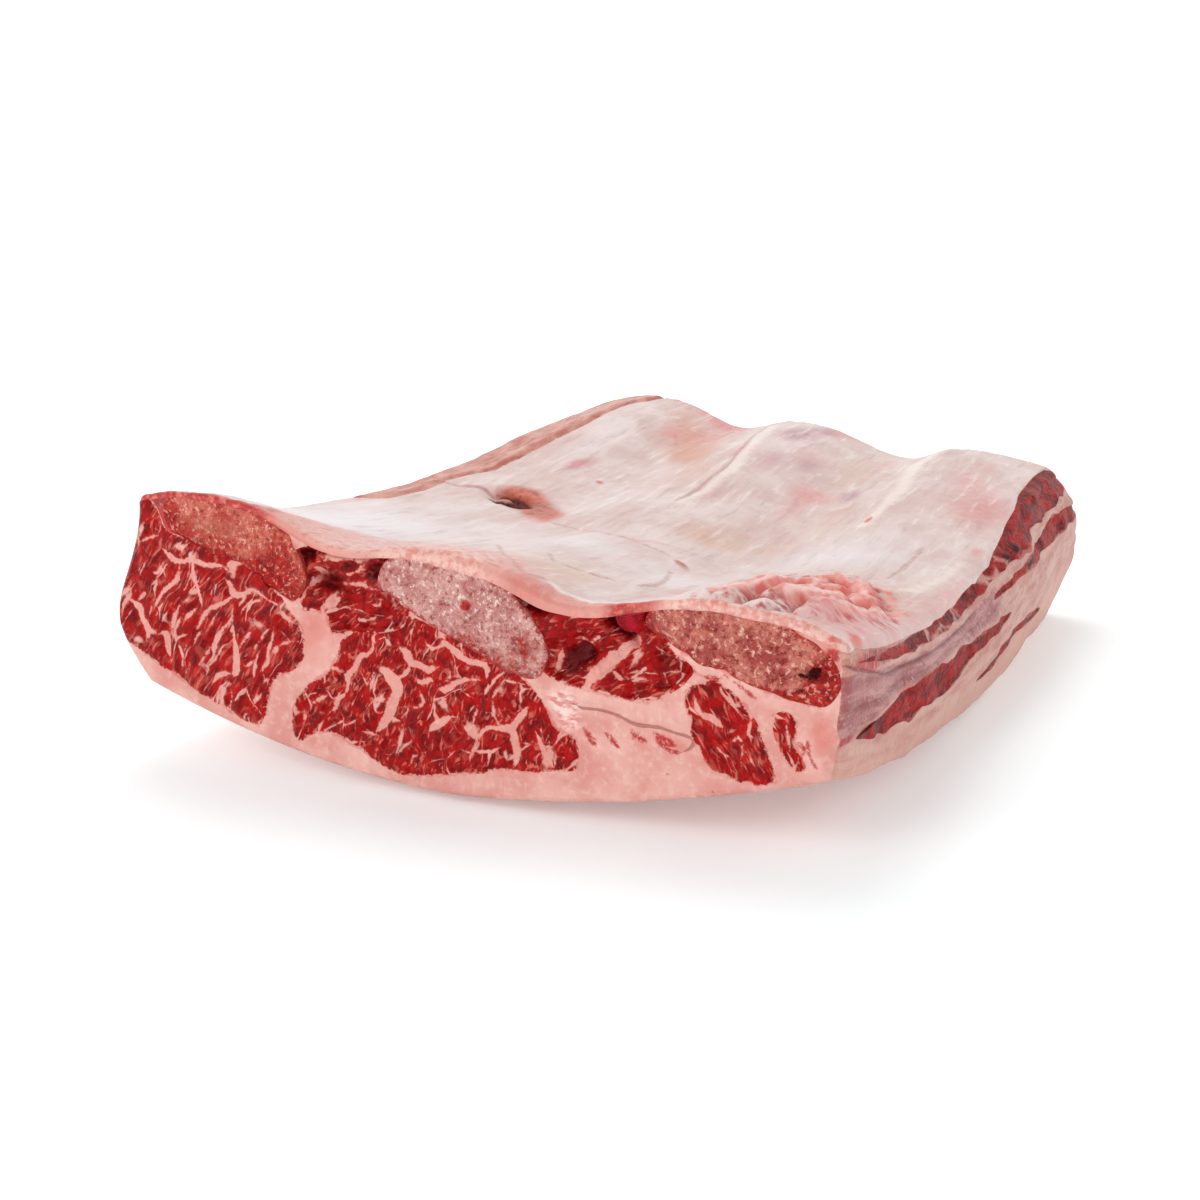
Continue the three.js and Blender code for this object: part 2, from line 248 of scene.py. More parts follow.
# Lines on the top, as x, s and half-width.
# These ridges stand up in the relief and are painted paler along their tops as painted highlight.
HIGHLIGHTED_RIDGES = (
    ((-8, 156, 0.6), (-5.7, 175, 1.2), (-6.5, 202, 1.6), (-12.4, 240, 1.8), (-17.4, 268, 1.4)),
    ((57, 168, 1.0), (57.2, 192, 1.8), (57.2, 216, 2.2), (52, 254, 2.2), (54, 282, 1.5)),
    ((88, 98, 0.4), (90.8, 106, 0.8), (93.7, 126, 1.0), (95.8, 150, 0.5)),
    ((18, 10, 0.3), (24.5, 8, 0.8), (33, 6, 1.0), (44, 2.5, 0.6)),
)
# These creases are sunk in the relief and painted darker as their painted shade.
SHADED_CREASES = (
    ((-23, 57, 0.2), (2.3, 20, 0.4), (12.8, 8, 0.4), (18, 10, 0.3)),
    ((-5, 56, 0.2), (3, 44, 0.3), (12, 42, 0.2), (21, 47, 0.1)),
    ((-40, 118, 0.1), (-21, 110, 0.3), (-8.6, 108, 0.2), (2, 105, 0.3), (13.6, 101, 0.2)),
    ((26.6, 50, 0.2), (28.5, 56, 0.5), (27, 68, 0.4), (22.4, 82, 0.2)),
    ((-104, 140, 0.3), (-91, 134, 0.5), (-84, 136, 0.6), (-72, 138, 0.5)),
    ((80.7, 116, 0.1), (81.1, 138, 0.3), (81.5, 152, 0.1)),
    ((-10, 157, 0.2), (-9, 175, 0.4), (-9.8, 202, 0.4), (-15.5, 240, 0.4), (-20, 268, 0.3)),
)
# The inner edge of the dried strip along the left: s above, x below.
STRIP_EDGE = ((88, 104, 124, 140, 160, 230, 262, 290), (-116, -97, -95, -97, -90, -87, -89, -82))
# The torn flap near the front right corner: the free edges of its folds.
FLAP_FOLDS = (
    ((59, 6, 0.2), (68, 10, 0.5), (74, 26, 0.7), (74.4, 42, 0.8), (72.7, 60, 0.6), (66.4, 92, 0.3)),
    ((62.7, 68, 0.3), (68, 62, 0.6), (74, 64, 0.6), (80.3, 68, 0.5), (84, 72, 0.3)),
    ((78, 8, 0.3), (82, 24, 0.7), (84.9, 42, 0.8), (84, 56, 0.7), (80, 62, 0.4)),
    ((45.5, 93, 0.2), (48.4, 108, 0.4), (58, 112, 0.5), (67, 101, 0.5), (78, 92, 0.4), (87, 72, 0.3)),
    ((88, 10, 0.3), (91, 26, 0.5), (94.5, 40, 0.5), (94, 56, 0.3)),
    ((56, 80, 0.2), (62, 86, 0.4), (70, 82, 0.4), (76, 80, 0.2)),
)
# Gaps torn between the folds, sunk in the relief and painted dark red as their shadow, as ovals.
SHADED_FLAP_GAPS = ((80, 12, 6.5, 6, -40, 1.0), (72, 42, 5, 8, 10, 0.5), (84.5, 60, 4.5, 7, 0, 1.0))


def lattice(columns, rows, layers):
    """The six faces of a unit box in square cells, each shared corner numbered once."""
    size = np.array([columns, rows, layers])
    quads = []
    for axis in range(3):
        u = (axis + 1) % 3
        v = (axis + 2) % 3
        i, j = np.meshgrid(np.arange(size[u]), np.arange(size[v]), indexing="ij")
        corner = np.zeros((i.size, 4, 3), int)
        for k, (di, dj) in enumerate(((0, 0), (1, 0), (1, 1), (0, 1))):
            corner[:, k, u] = i.ravel() + di
            corner[:, k, v] = j.ravel() + dj
        far = corner.copy()
        far[:, :, axis] = size[axis]
        quads.append(corner[:, ::-1])
        quads.append(far)
    quads = np.concatenate(quads)
    keys = (quads[..., 0] * (rows + 1) + quads[..., 1]) * (layers + 1) + quads[..., 2]
    _, first, back = np.unique(keys, return_index=True, return_inverse=True)
    return quads.reshape(-1, 3)[first] / size, back.reshape(-1, 4)


def flap_height(x, s):
    """Two bells multiplied: the torn fat that stands up near the front right corner."""
    return 4.5 * bell((x - 76.0) / 18.0) * bell((s - 32.0) / 20.0)


def slab(columns, rows, layers, ends):
    """The whole slab: left and right sides bellied by powers of a sine, ends and edges rounded."""
    steps, quads = lattice(columns, rows, layers)
    across, along, up = steps.T
    s = LENGTH * (along - ends * np.sin(2.0 * np.pi * along) / (2.0 * np.pi))
    t = s / LENGTH
    left = LEFT_EDGE - mix(10.1, 6.4, t) * np.abs(np.sin(np.pi * up**0.62)) ** 1.7
    left = left + round_off(2.0, s) + round_off(10.0, LENGTH - s)
    right = RIGHT_EDGE + mix(0.8, 9.2, smooth(s / 208.0)) * np.abs(np.sin(np.pi * up**1.4)) ** 0.6
    right = right - 3.0 * (1.0 - up) ** 2 * (1.0 - smooth(s / 150.0))
    right = right - round_off(3.0, s) - round_off(12.0, LENGTH - s)
    x = mix(left, right, across)
    low = sole(x, s) + round_off(1.2, s) + round_off(4.0, LENGTH - s)
    roll = 2.0 + 3.0 * bell((x - 2.0) / 26.0)
    top = crown(x, s) + flap_height(x, s) - round_off(roll, s) - round_off(4.0, LENGTH - s)
    top = top - round_off(2.2, right - x) - round_off(1.8, x - left)
    z = mix(low, top, up)
    # Slow unevenness of the sides, nil on the flat cuts and where the slab rests.
    side = smooth(np.abs(across - 0.5) * 20.0 - 9.0) * smooth(s / 12.0) * smooth((LENGTH - s) / 12.0)
    place = np.stack([x, s, z], axis=-1)
    uneven = 1.3 * cloud(place, 22.0) + 0.6 * cloud(place + 40.0, 8.0)
    x = x + side * np.sign(across - 0.5) * uneven * 0.9
    lift = smooth(z / 4.0 - 0.5) * (1.0 - up) ** 8 * smooth(s / 10.0) * smooth((LENGTH - s) / 10.0)
    z = z + lift * (0.8 * cloud(place + 80.0, 26.0) + 0.4 * cloud(place + 9.0, 9.0))
    return x, s, np.maximum(z, 0.0), up, quads


def model_points(x, s, z):
    """Cut-face coordinates to the model's own place, in metres."""
    return np.stack([fan(x, s) + CENTRE_X, s + CENTRE_Y, z], axis=-1) * 0.001


def link(name, data):
    """A new object at the origin for a mesh, a lamp or a camera."""
    made = bpy.data.objects.new(name, data)
    bpy.context.scene.collection.objects.link(made)
    return made


def new_piece(name, points, quads):
    """A mesh object at the origin from corner points in metres and four-sided faces."""
    mesh = bpy.data.meshes.new(name)
    mesh.vertices.add(len(points))
    mesh.vertices.foreach_set("co", points.astype(np.float32).ravel())
    mesh.loops.add(quads.size)
    mesh.loops.foreach_set("vertex_index", quads.astype(np.int32).ravel())
    mesh.polygons.add(len(quads))
    mesh.polygons.foreach_set("loop_start", np.arange(0, quads.size, 4, dtype=np.int32))
    mesh.update(calc_edges=True)
    return link(name, mesh)


def carve(name, whole, cutter, operation):
    """The whole, with the cutter's room kept (INTERSECT) or cleared (DIFFERENCE) or joined (UNION)."""
    modifier = whole.modifiers.new("carve", "BOOLEAN")
    modifier.operation = operation
    modifier.solver = "MANIFOLD"
    modifier.object = cutter
    evaluated = whole.evaluated_get(bpy.context.evaluated_depsgraph_get())
    mesh = bpy.data.meshes.new_from_object(evaluated)
    whole.modifiers.clear()
    mesh.name = name
    return link(name, mesh)


def front_place(piece):
    """Each corner's x, s and z on the front cut: the fan and the sag of the ribs undone."""
    points = np.zeros(len(piece.data.vertices) * 3, np.float32)
    piece.data.vertices.foreach_get("co", points)
    points = points.reshape(-1, 3).astype(float) * 1000.0
    s = np.clip(points[:, 1] - CENTRE_Y, 0.0, LENGTH)
    t = s / LENGTH
    drifted = points[:, 0] - CENTRE_X
    linear = 1.0 + DRIFT_SHARE * t
    constant = DRIFT_PUSH * t - drifted
    square = DRIFT_CURVE * t
    x = -2.0 * constant / (linear + np.sqrt(linear * linear - 4.0 * square * constant))
    top = crown(x, s)
    start = crown(x, 0.0)
    depth = top - points[:, 2]
    part = (points[:, 2] - sole(x, s)) / (top - KEEP - sole(x, s))
    deep = mix(sole(x, 0.0), start - KEEP, part)
    return np.stack([x, s, np.where(depth > KEEP, deep, start - depth)], axis=-1), points


def set_corners(piece, points):
    """Moves the corners of the mesh to places given in millimetres."""
    piece.data.vertices.foreach_set("co", (points * 0.001).astype(np.float32).ravel())


def settle(piece, node, crisp=52.0):
    """Smooth shading, crisp over edges past an angle, and the calls that tie it to its solid."""
    piece.data.shade_smooth()
    piece.data.set_sharp_from_angle(angle=np.radians(crisp))
    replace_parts(piece, node)
    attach(piece, "root")


def note(piece, name, values):
    """Keeps a number, or three, for each corner of the mesh, for the finish to read."""
    if values.ndim == 1:
        made = piece.data.attributes.new(name, "FLOAT", "POINT")
        made.data.foreach_set("value", values.astype(np.float32))
    else:
        made = piece.data.attributes.new(name, "FLOAT_VECTOR", "POINT")
        made.data.foreach_set("vector", values.astype(np.float32).ravel())


def lining_block():
    """All the room above the underside of the lining, whose depth is a bell plus a right-hand taper."""
    steps, quads = lattice(110, 60, 1)
    across, along, up = steps.T
    s = mix(-8.0, LENGTH + 8.0, along)
    inside = np.clip(s, 0.0, LENGTH)
    ragged = cloud(np.stack([s, s * 0.0, s * 0.0], axis=-1), 9.0)
    trimmed = RIGHT_EDGE - 5.0 * smooth((s - 150.0) / 90.0) + 0.9 * ragged * smooth((s - 150.0) / 30.0)
    x = mix(LEFT_EDGE - 20.0, np.where(s < 142.0, RIGHT_EDGE + 20.0, trimmed), across)
    thick = 2.2 + 2.2 * bell((x - 6.0) / 24.0) - 0.8 * smooth((x - RIGHT_EDGE + 20.0) / 20.0)
    thick = thick + 3.6 * np.minimum(1.0, patches((PIT[:2] + (15.0, 11.0, -18.0, 1.0),), x, s))
    thick = thick + 2.2 * bell((x - 74.0) / 17.0) * bell((s - 55.0) / 42.0)
    place = np.stack([x, s, x * 0.0], axis=-1)
    thick = thick + 0.5 * cloud(place, 7.0) * smooth((30.0 - s) / 10.0)
    z = crown(x, inside)
    z = np.where(up > 0.5, z + 30.0, z - thick)
    return new_piece("lining_room", model_points(x, s, z), quads)


def top_relief(x, s):
    """Height added to the top: slow swells, streaks along the ribs, ridges, creases, pit, folds."""
    place = np.stack([x, s, x * 0.0], axis=-1)
    swell = 0.8 * cloud(place, 34.0) + 0.45 * cloud(place + 20.0, 13.0)
    streak = 0.30 * cloud(place * (1.0, 0.14, 1.0) + 50.0, 4.2)
    streak = streak + 0.14 * cloud(place * (1.0, 0.2, 1.0) + 70.0, 1.7)
    height = (swell + streak) * smooth(s / 4.0 + 0.2) + 0.10 * cloud(place + 5.0, 2.1)
    for path in HIGHLIGHTED_RIDGES:
        height = height + 0.8 * bell(np.maximum(near_path(path, x + cloud(place, 8.0), s), 0.0) / 3.4)
    for path in SHADED_CREASES:
        wander = x + 0.9 * cloud(place, 5.0)
        depth = 0.35 + 0.45 * cloud(place + 44.0, 7.0)
        height = height - depth * bell(np.maximum(near_path(path, wander, s), 0.0) / 0.9)
    pit = np.minimum(1.0, patches((PIT,), x, s))
    rim = patches((PIT[:2] + (12.0, 6.0, -18.0, 1.0),), x, s)
    height = height - 4.2 * smooth(pit * 1.5) + 1.0 * rim
    island = patches((ISLAND,), x, s)
    height = height + 2.2 * island
    # The dried edge along the left, parted from the lining by a groove.
    inner = np.interp(s, *STRIP_EDGE)
    height = height + 0.5 * smooth((inner - x) / 3.0) - 0.7 * bell((inner - x) / 0.8)
    # Folds of the flap: each free edge stands up, then drops steeply to the next.
    torn = smooth(1.3 * np.exp(-(((x - 76.0) / 21.0) ** 4)) * np.exp(-(((s - 52.0) / 50.0) ** 4)))
    wavy_x = x + 1.6 * cloud(place, 9.0)
    wavy_s = s + 3.0 * cloud(place + 31.0, 9.0)
    height = height - 2.4 * patches(SHADED_FLAP_GAPS, x, s) + 0.9 * patches((BROWN_SPOTS[3],), x, s)
    folds = 0.0 * x
    for path in FLAP_FOLDS:
        gap = near_path(path, wavy_x, wavy_s)
        folds = np.maximum(folds, bell(np.maximum(gap, 0.0) / 3.4))
        height = height - 0.9 * torn * bell((gap - 4.6) / 1.1)
    lumps = 0.8 * cloud(place * (1.0, 0.45, 1.0), 4.4) + 0.4 * cloud(place, 1.9)
    return height + torn * (2.9 * folds + 1.2 * lumps)


fine_x, fine_s, fine_z, fine_up, fine_quads = slab(230, 310, 14, 0.42)
fine_z = fine_z + top_relief(fine_x, fine_s) * fine_up**10
top_skin = new_piece("top_skin", model_points(fine_x, fine_s, fine_z), fine_quads)
lining_room = lining_block()
lining = carve("lining_cover", top_skin, lining_room, "INTERSECT")

lining_place, lining_points = front_place(lining)
lining_x, lining_s, lining_z = lining_place.T
note(lining, "place", lining_place)
lining_areas = {
    "pink": PINK_SPOTS, "red": RED_SPOTS, "lilac": LILAC_SPOTS, "cream": CREAM_SPOTS,
    "tan": TAN_SPOTS, "blue": PAINTED_SHEEN_SPOTS, "brown": BROWN_SPOTS, "gaps": SHADED_FLAP_GAPS,
    "pit": (PIT, ISLAND[:5] + (-0.8,)), "torn": ((71, 56, 27, 50, 4, 1.9),),
}
for area_name, area_spots in lining_areas.items():
    note(lining, area_name, patches(area_spots, lining_x, lining_s))
lining_lines = {
    "pale": HIGHLIGHTED_RIDGES, "crease": SHADED_CREASES + FLAP_FOLDS[4:], "fold": FLAP_FOLDS,
}
for line_name, line_paths in lining_lines.items():
    note(lining, line_name, nearest_line(line_paths, lining_x, lining_s))
front_edge = read_off(PINK_EDGE, lining_x)
note(lining, "rim", 1.0 - lining_s / np.maximum(front_edge, 0.5))
note(lining, "strip", np.interp(lining_s, *STRIP_EDGE) - lining_x)
rosy_share = np.interp(
    lining_x,
    (-90, -66, -58, -30, -22, 2, 14, 38, 43, 52, 58, 104),
    (1.0, 0.9, 0.5, 0.4, 0.15, 0.25, 0.55, 0.45, 0.9, 0.7, 0.15, 0.2),
)
raised_edge = lining_points[:, 2] - crown(lining_x, lining_s)
note(lining, "rosy", rosy_share - 0.10 * (raised_edge + 1.2) * (lining_x < -20.0))


# The finest noise, in millimetres: no view shows less.
FINEST = 0.36


def shade(red, green, blue):
    """A colour from its screen values, 0 to 255, as the light values that the shader works with."""
    screen = np.array([red, green, blue]) / 255.0
    light = np.where(screen <= 0.04045, screen / 12.92, ((screen + 0.055) / 1.055) ** 2.4)
    return (float(light[0]), float(light[1]), float(light[2]), 1.0)


class Wire:
    """A socket among a finish's nodes. Sums and products of wires and numbers add Math nodes."""

    def __init__(self, tree, socket=None):
        self.tree = tree
        self.socket = socket

    def node(self, kind, settings=None, values=None, out=0):
        """Adds a node of this kind: its settings first, then a value or link for each socket."""
        made = self.tree.nodes.new("ShaderNode" + kind)
        for name, setting in (settings or {}).items():
            setattr(made, name, setting)
        for name, value in (values or {}).items():
            if isinstance(value, Wire):
                self.tree.links.new(value.socket, made.inputs[name])
            else:
                made.inputs[name].default_value = value
        return None if out is None else Wire(self.tree, made.outputs[out])

    def math(self, operation, first, second=0.0):
        return self.node("Math", {"operation": operation}, {0: first, 1: second})

    def __add__(self, other):
        return self.math("ADD", self, other)

    def __radd__(self, other):
        return self.math("ADD", other, self)

    def __sub__(self, other):
        return self.math("SUBTRACT", self, other)

    def __rsub__(self, other):
        return self.math("SUBTRACT", other, self)

    def __mul__(self, other):
        return self.math("MULTIPLY", self, other)

    def __rmul__(self, other):
        return self.math("MULTIPLY", other, self)

    def __or__(self, other):
        return self.math("MAXIMUM", self, other)

    def __and__(self, other):
        return self.math("MINIMUM", self, other)

    def between(self, low, high):
        """The share from 0 to 1 that the value has gone from low to high, eased at both ends."""
        limits = {"Value": self, "From Min": low, "From Max": high}
        return self.node("MapRange", {"interpolation_type": "SMOOTHSTEP"}, limits)

    def pick(self, none, full):
        """The colour none where this share is 0, and full where it is 1."""
        return self.node("Mix", {"data_type": "RGBA"}, {0: self, 6: none, 7: full}, 2)

    def noted(self, name, out="Fac"):
        """A number, or with Vector three, that was kept for each corner of the mesh."""
        return self.node("Attribute", {"attribute_name": name}, None, out)

    def squeezed(self, scale, turn=0.0):
        """This place, turned about the length of the slab and then scaled along each axis."""
        values = {"Vector": self, "Rotation": (0.0, np.radians(turn), 0.0), "Scale": scale}
        return self.node("Mapping", None, values)

    def speckle(self, size, detail=2.0, rough=0.5):
        """Cloudy noise from 0 to 1 at this place, with lumps of the given size in millimetres,
        and finer layers over them, each half as large, down to the finest."""
        layers = min(detail, max(1.0, round(np.log2(size / FINEST))))
        values = {"Vector": self, "Scale": 1.0 / size, "Detail": layers, "Roughness": rough}
        return self.node("TexNoise", None, values, "Fac")

    def wandered(self, size, amount):
        """This place, pushed about by coloured noise of the given size and amount."""
        values = {"Vector": self, "Scale": 1.0 / size, "Detail": 1.0}
        push = self.node("TexNoise", None, values, "Color")
        spread = {0: push, 1: (amount, amount, amount), 2: self}
        return self.node("VectorMath", {"operation": "MULTIPLY_ADD"}, spread)

    def veins(self, size):
        """Distance to the edges of irregular cells of the given size, in millimetres."""
        settings = {"feature": "DISTANCE_TO_EDGE"}
        return self.node("TexVoronoi", settings, {"Vector": self, "Scale": 1.0 / size}) * size

    def grit(self, size):
        """A random number for each irregular cell of the given size."""
        cell = self.node("TexVoronoi", None, {"Vector": self, "Scale": 1.0 / size}, "Color")
        return cell.node("SeparateColor", None, {"Color": cell}, 0)

    def dress(self, material_values, height, depth):
        """Ends a finish: a bump of the given depth in metres, the main shader and its output."""
        bump = self.node("Bump", None, {"Height": height, "Distance": depth}, 0)
        values = {"Normal": bump, "IOR": 1.42}
        values.update(material_values)
        shader = self.node("BsdfPrincipled", None, values)
        self.node("OutputMaterial", None, {"Surface": shader}, None)


def new_finish(name, piece):
    """An empty material on the piece, and the first wire to build its nodes from."""
    material = bpy.data.materials.new(name)
    material.use_nodes = True
    material.node_tree.nodes.clear()
    piece.data.materials.clear()
    piece.data.materials.append(material)
    return Wire(material.node_tree)


def fat_colour(place):
    """The colour of cut fat: cream-pink, cloudier and whiter in places, faintly mottled."""
    drift = place.speckle(13.0, 3.0).between(0.35, 0.68)
    fat = drift.pick(shade(206, 136, 126), shade(220, 164, 153))
    mottle = place.speckle(2.6, 4.0, 0.65).between(0.46, 0.75) * 0.45
    fat = mottle.pick(fat, shade(231, 194, 184))
    blush = place.squeezed((0.8, 0.3, 1.0)).speckle(7.0, 4.0, 0.6).between(0.56, 0.74) * 0.4
    return blush.pick(fat, shade(206, 112, 101))


def lining_finish():
    """Wet white skin: pink, lilac and cream areas, a brown stain, a pink front edge, bluish painted sheen,
    painted highlight on ridges and streaks, and painted shade in creases, flap hollows, torn flap openings
    and the pit.
    """
    start = new_finish("wet_lining", lining)
    place = start.noted("place", "Vector")
    flat_place = place.squeezed((1.0, 1.0, 0.25))
    along = flat_place.squeezed((1.0, 0.16, 1.0))
    cloudy = flat_place.speckle(24.0, 4.0, 0.6)
    fine = flat_place.speckle(3.2, 4.0, 0.62)
    streaks = along.wandered(9.0, 2.0).speckle(3.4, 4.0, 0.6)
    ragged = fine - 0.5
    skin = cloudy.between(0.36, 0.64).pick(shade(205, 172, 165), shade(218, 195, 190))
    # Painted sheen: bluish-white where the sheen spots lie, standing in for the reflection on the wet top.
    skin = start.noted("blue").between(0.0, 1.0).pick(skin, shade(224, 211, 211))
    cream = start.noted("cream") * (0.6 + cloudy)
    skin = cream.between(0.0, 1.0).pick(skin, shade(206, 170, 153))
    tan = start.noted("tan") * (0.6 + cloudy * 0.8) + ragged * 0.15
    skin = tan.between(0.0, 1.0).pick(skin, shade(205, 148, 128))
    lilac = start.noted("lilac") * (0.5 + cloudy) + ragged * 0.2
    skin = lilac.between(0.05, 0.9).pick(skin, shade(184, 138, 144))
    pink = start.noted("pink") * (0.45 + cloudy) + ragged * 0.3
    skin = pink.between(0.05, 0.85).pick(skin, shade(211, 134, 130))
    # Streaks along the ribs, which the bump also raises: painted highlight on their raised tops and
    # painted shade between them.
    skin = (streaks.between(0.54, 0.76) * 0.55).pick(skin, shade(236, 223, 218))
    skin = (streaks.between(0.47, 0.26) * 0.5).pick(skin, shade(186, 144, 136))
    smear = along.speckle(11.0, 4.0, 0.65).between(0.56, 0.74) * 0.45
    skin = smear.pick(skin, shade(210, 150, 141))
    # Painted highlight: paler colour along the raised ridges.
    pale = (start.noted("pale") + ragged * 4.0).between(2.6, -1.4) * 0.7
    skin = pale.pick(skin, shade(234, 216, 207))
    # Painted shade: darker colour in the sunk creases.
    crease = (start.noted("crease") + ragged * 2.0).between(0.9, -0.3) * 0.6
    skin = crease.pick(skin, shade(182, 118, 106))
    grain = place.speckle(2.2, 4.0, 0.62)
    rosy = (start.noted("rosy") + (grain - 0.5) * 1.3).between(0.25, 0.85)
    front = rosy.pick(grain.between(0.35, 0.65).pick(shade(208, 134, 122), shade(228, 184, 172)),
                      grain.between(0.43, 0.65).pick(shade(176, 34, 30), shade(214, 112, 98)))
    rim = (start.noted("rim") + ragged * 0.9).between(-0.1, 0.5)
    skin = rim.pick(skin, front)
    torn = (start.noted("torn") + ragged * 1.6).between(0.50, 0.95)
    torn_fat = flat_place.speckle(5.0, 3.0).between(0.35, 0.65).pick(
        shade(214, 96, 86), shade(230, 158, 146)
    )
    # Painted shade: dark red in the hollows between the flap's raised folds.
    hollow = start.noted("fold").between(1.4, 3.6) * start.noted("fold").between(7.6, 4.6)
    torn_fat = (hollow * (fine.between(0.30, 0.55))).pick(torn_fat, shade(176, 34, 26))
    lip = (start.noted("fold") + ragged * 1.6).between(0.9, -0.3)
    torn_fat = (lip * 0.6).pick(torn_fat, shade(244, 212, 204))
    # Painted shadow: dark red in the gaps torn between the folds.
    gaps = (start.noted("gaps") + ragged * 0.7).between(0.35, 0.85)
    torn_fat = (gaps * 0.9).pick(torn_fat, shade(168, 24, 22))
    skin = (torn * 0.92).pick(skin, torn_fat)
    brown_tone = fine.between(0.38, 0.62).pick(shade(158, 66, 36), shade(202, 100, 76))
    brown = (start.noted("brown") * (0.55 + cloudy * 0.9) + ragged * 0.25).between(0.22, 0.95)
    skin = brown.pick(skin, brown_tone)
    red = (start.noted("red") + ragged * 0.5).between(0.25, 0.85)
    skin = red.pick(skin, shade(208, 76, 62))
    # The pit's core: dark red-brown, partly its own stain and partly painted shade in the sunk hollow.
    pit = (start.noted("pit") + ragged * 0.5).between(0.30, 0.50)
    skin = pit.pick(skin, fine.between(0.46, 0.62).pick(shade(54, 4, 3), shade(112, 36, 24)))
    dried = flat_place.squeezed((1.0, 0.3, 1.0)).speckle(4.0, 4.0, 0.6).between(0.35, 0.65)
    strip_tone = dried.pick(shade(178, 92, 78), shade(206, 146, 128))
    strip = (start.noted("strip") + ragged * 2.5).between(-0.4, 0.5)
    skin = strip.pick(skin, strip_tone)
    gloss = 0.28 + fine * 0.24 + torn * 0.08 + pit * 0.45
    height = streaks * 0.6 + fine * 0.5 + crease * -0.6
    values = {"Base Color": skin, "Roughness": gloss}
    start.dress(values, height, 0.0007)


lining_finish()
settle(lining, "lining", 60.0)

# ---- The rib bones ----
# Three flat ribs, sawn square across: red and grey spongy bone in a thin hard shell. Each is a smooth
# outline on the front cut, run through the slab along the curve of the ribs, and cut out of a skin of the
# slab that is finest on its two sawn ends. Pores stand in relief.
BONES = {
    "rib_left": ((-97, 74), (-91, 79.5), (-79, 79.5), (-68, 78), (-59, 74.5), (-52, 66.5),
                 (-50, 57), (-54, 51), (-62, 55), (-72, 60.5), (-84, 64), (-94, 67.5)),
    "rib_middle": ((-27, 59), (-23, 65.5), (-14, 68), (-3, 66.5), (9, 62.5), (18, 56), (23, 47),
                   (21.5, 39), (15, 38.5), (4, 43), (-8, 48), (-20, 54)),
    "rib_right": ((50.5, 56.5), (54, 61.5), (65, 63.5), (77, 62.8), (89, 59), (98, 52.5),
                  (100.5, 45), (96, 40.5), (86, 42), (74, 45.5), (61, 50)),
}
# Where the sawn bone is bloody, as ovals of x, z, half-width, half-height, turn, strength.
BLOODY = {
    "rib_left": ((-95, 72, 5, 7, 0, 1.0), (-57, 57, 8, 7, 30, 1.0), (-75, 61, 20, 3.0, -20, 0.9),
                 (-62, 62, 10, 6, 20, 0.45), (-78, 76, 5, 2, 0, 0.5), (-71, 74, 3, 2.5, 0, 0.5)),
    "rib_middle": ((18, 45, 6, 6, 0, 0.7), (4, 44, 16, 3.4, -28, 0.75), (-24, 60, 2.5, 4, 0, 0.5),
                   (0.5, 55.6, 1.5, 1.5, 0, 1.4), (12, 51, 7, 5, -30, 0.28)),
    "rib_right": ((97.5, 45, 5.5, 8, 0, 1.6), (88, 42, 9, 2.2, 0, 1.1), (72, 61, 10, 2, 0, 0.35),
                  (66, 52, 16, 3, -8, 0.3), (53, 56, 3, 3, 0, 0.5)),
}
# Holes in the sawn bone, sunk in the relief and painted near-black as their shade, as ovals of x, z,
# half-width, half-height, turn, strength.
SHADED_HOLES = ((94.2, 48.4, 2.5, 1.5, 24, 1.2), (90.4, 47.4, 1.6, 0.8, 0, 0.7), (91, 44, 1.5, 0.7, 0, 0.6))


def cubic_curve(t, p1, p2, leave, arrive):
    """From p1 to p2 as t goes from 0 to 1: the cubic curve with these slopes at its two ends."""
    curve = (2 * t**3 - 3 * t**2 + 1) * p1 + (t**3 - 2 * t**2 + t) * leave
    return curve + (3 * t**2 - 2 * t**3) * p2 + (t**3 - t**2) * arrive


def ring_of(corners, step, ragged):
    """A closed curve through the corners with square-root spacing, evenly stepped, then roughened."""
    p1 = np.array(corners, float)
    p0 = np.roll(p1, 1, 0)
    p2 = np.roll(p1, -1, 0)
    p3 = np.roll(p1, -2, 0)
    d0 = np.linalg.norm(p1 - p0, axis=1, keepdims=True) ** 0.5
    d1 = np.linalg.norm(p2 - p1, axis=1, keepdims=True) ** 0.5
    d2 = np.linalg.norm(p3 - p2, axis=1, keepdims=True) ** 0.5
    leave = ((p1 - p0) / d0 - (p2 - p0) / (d0 + d1) + (p2 - p1) / d1) * d1
    arrive = ((p2 - p1) / d1 - (p3 - p1) / (d1 + d2) + (p3 - p2) / d2) * d1
    t = np.linspace(0.0, 1.0, 24, endpoint=False)[None, :, None]
    p1, p2, leave, arrive = (v[:, None, :] for v in (p1, p2, leave, arrive))
    curve = cubic_curve(t, p1, p2, leave, arrive).reshape(-1, 2)
    closed = np.vstack([curve, curve[:1]])
    run = np.concatenate([[0.0], np.cumsum(np.linalg.norm(np.diff(closed, axis=0), axis=1))])
    count = max(24, int(round(run[-1] / step)))
    at = np.arange(count) * run[-1] / count
    ring = np.stack([np.interp(at, run, closed[:, 0]), np.interp(at, run, closed[:, 1])], axis=-1)
    place = np.stack([ring[:, 0], ring[:, 1], ring[:, 0] * 0.0], axis=-1)
    push = np.stack([cloud(place, 3.2), cloud(place + 11.0, 3.2)], axis=-1)
    slow = np.stack([cloud(place + 5.0, 9.0), cloud(place + 17.0, 9.0)], axis=-1)
    return ring + ragged * (push + 0.6 * slow)


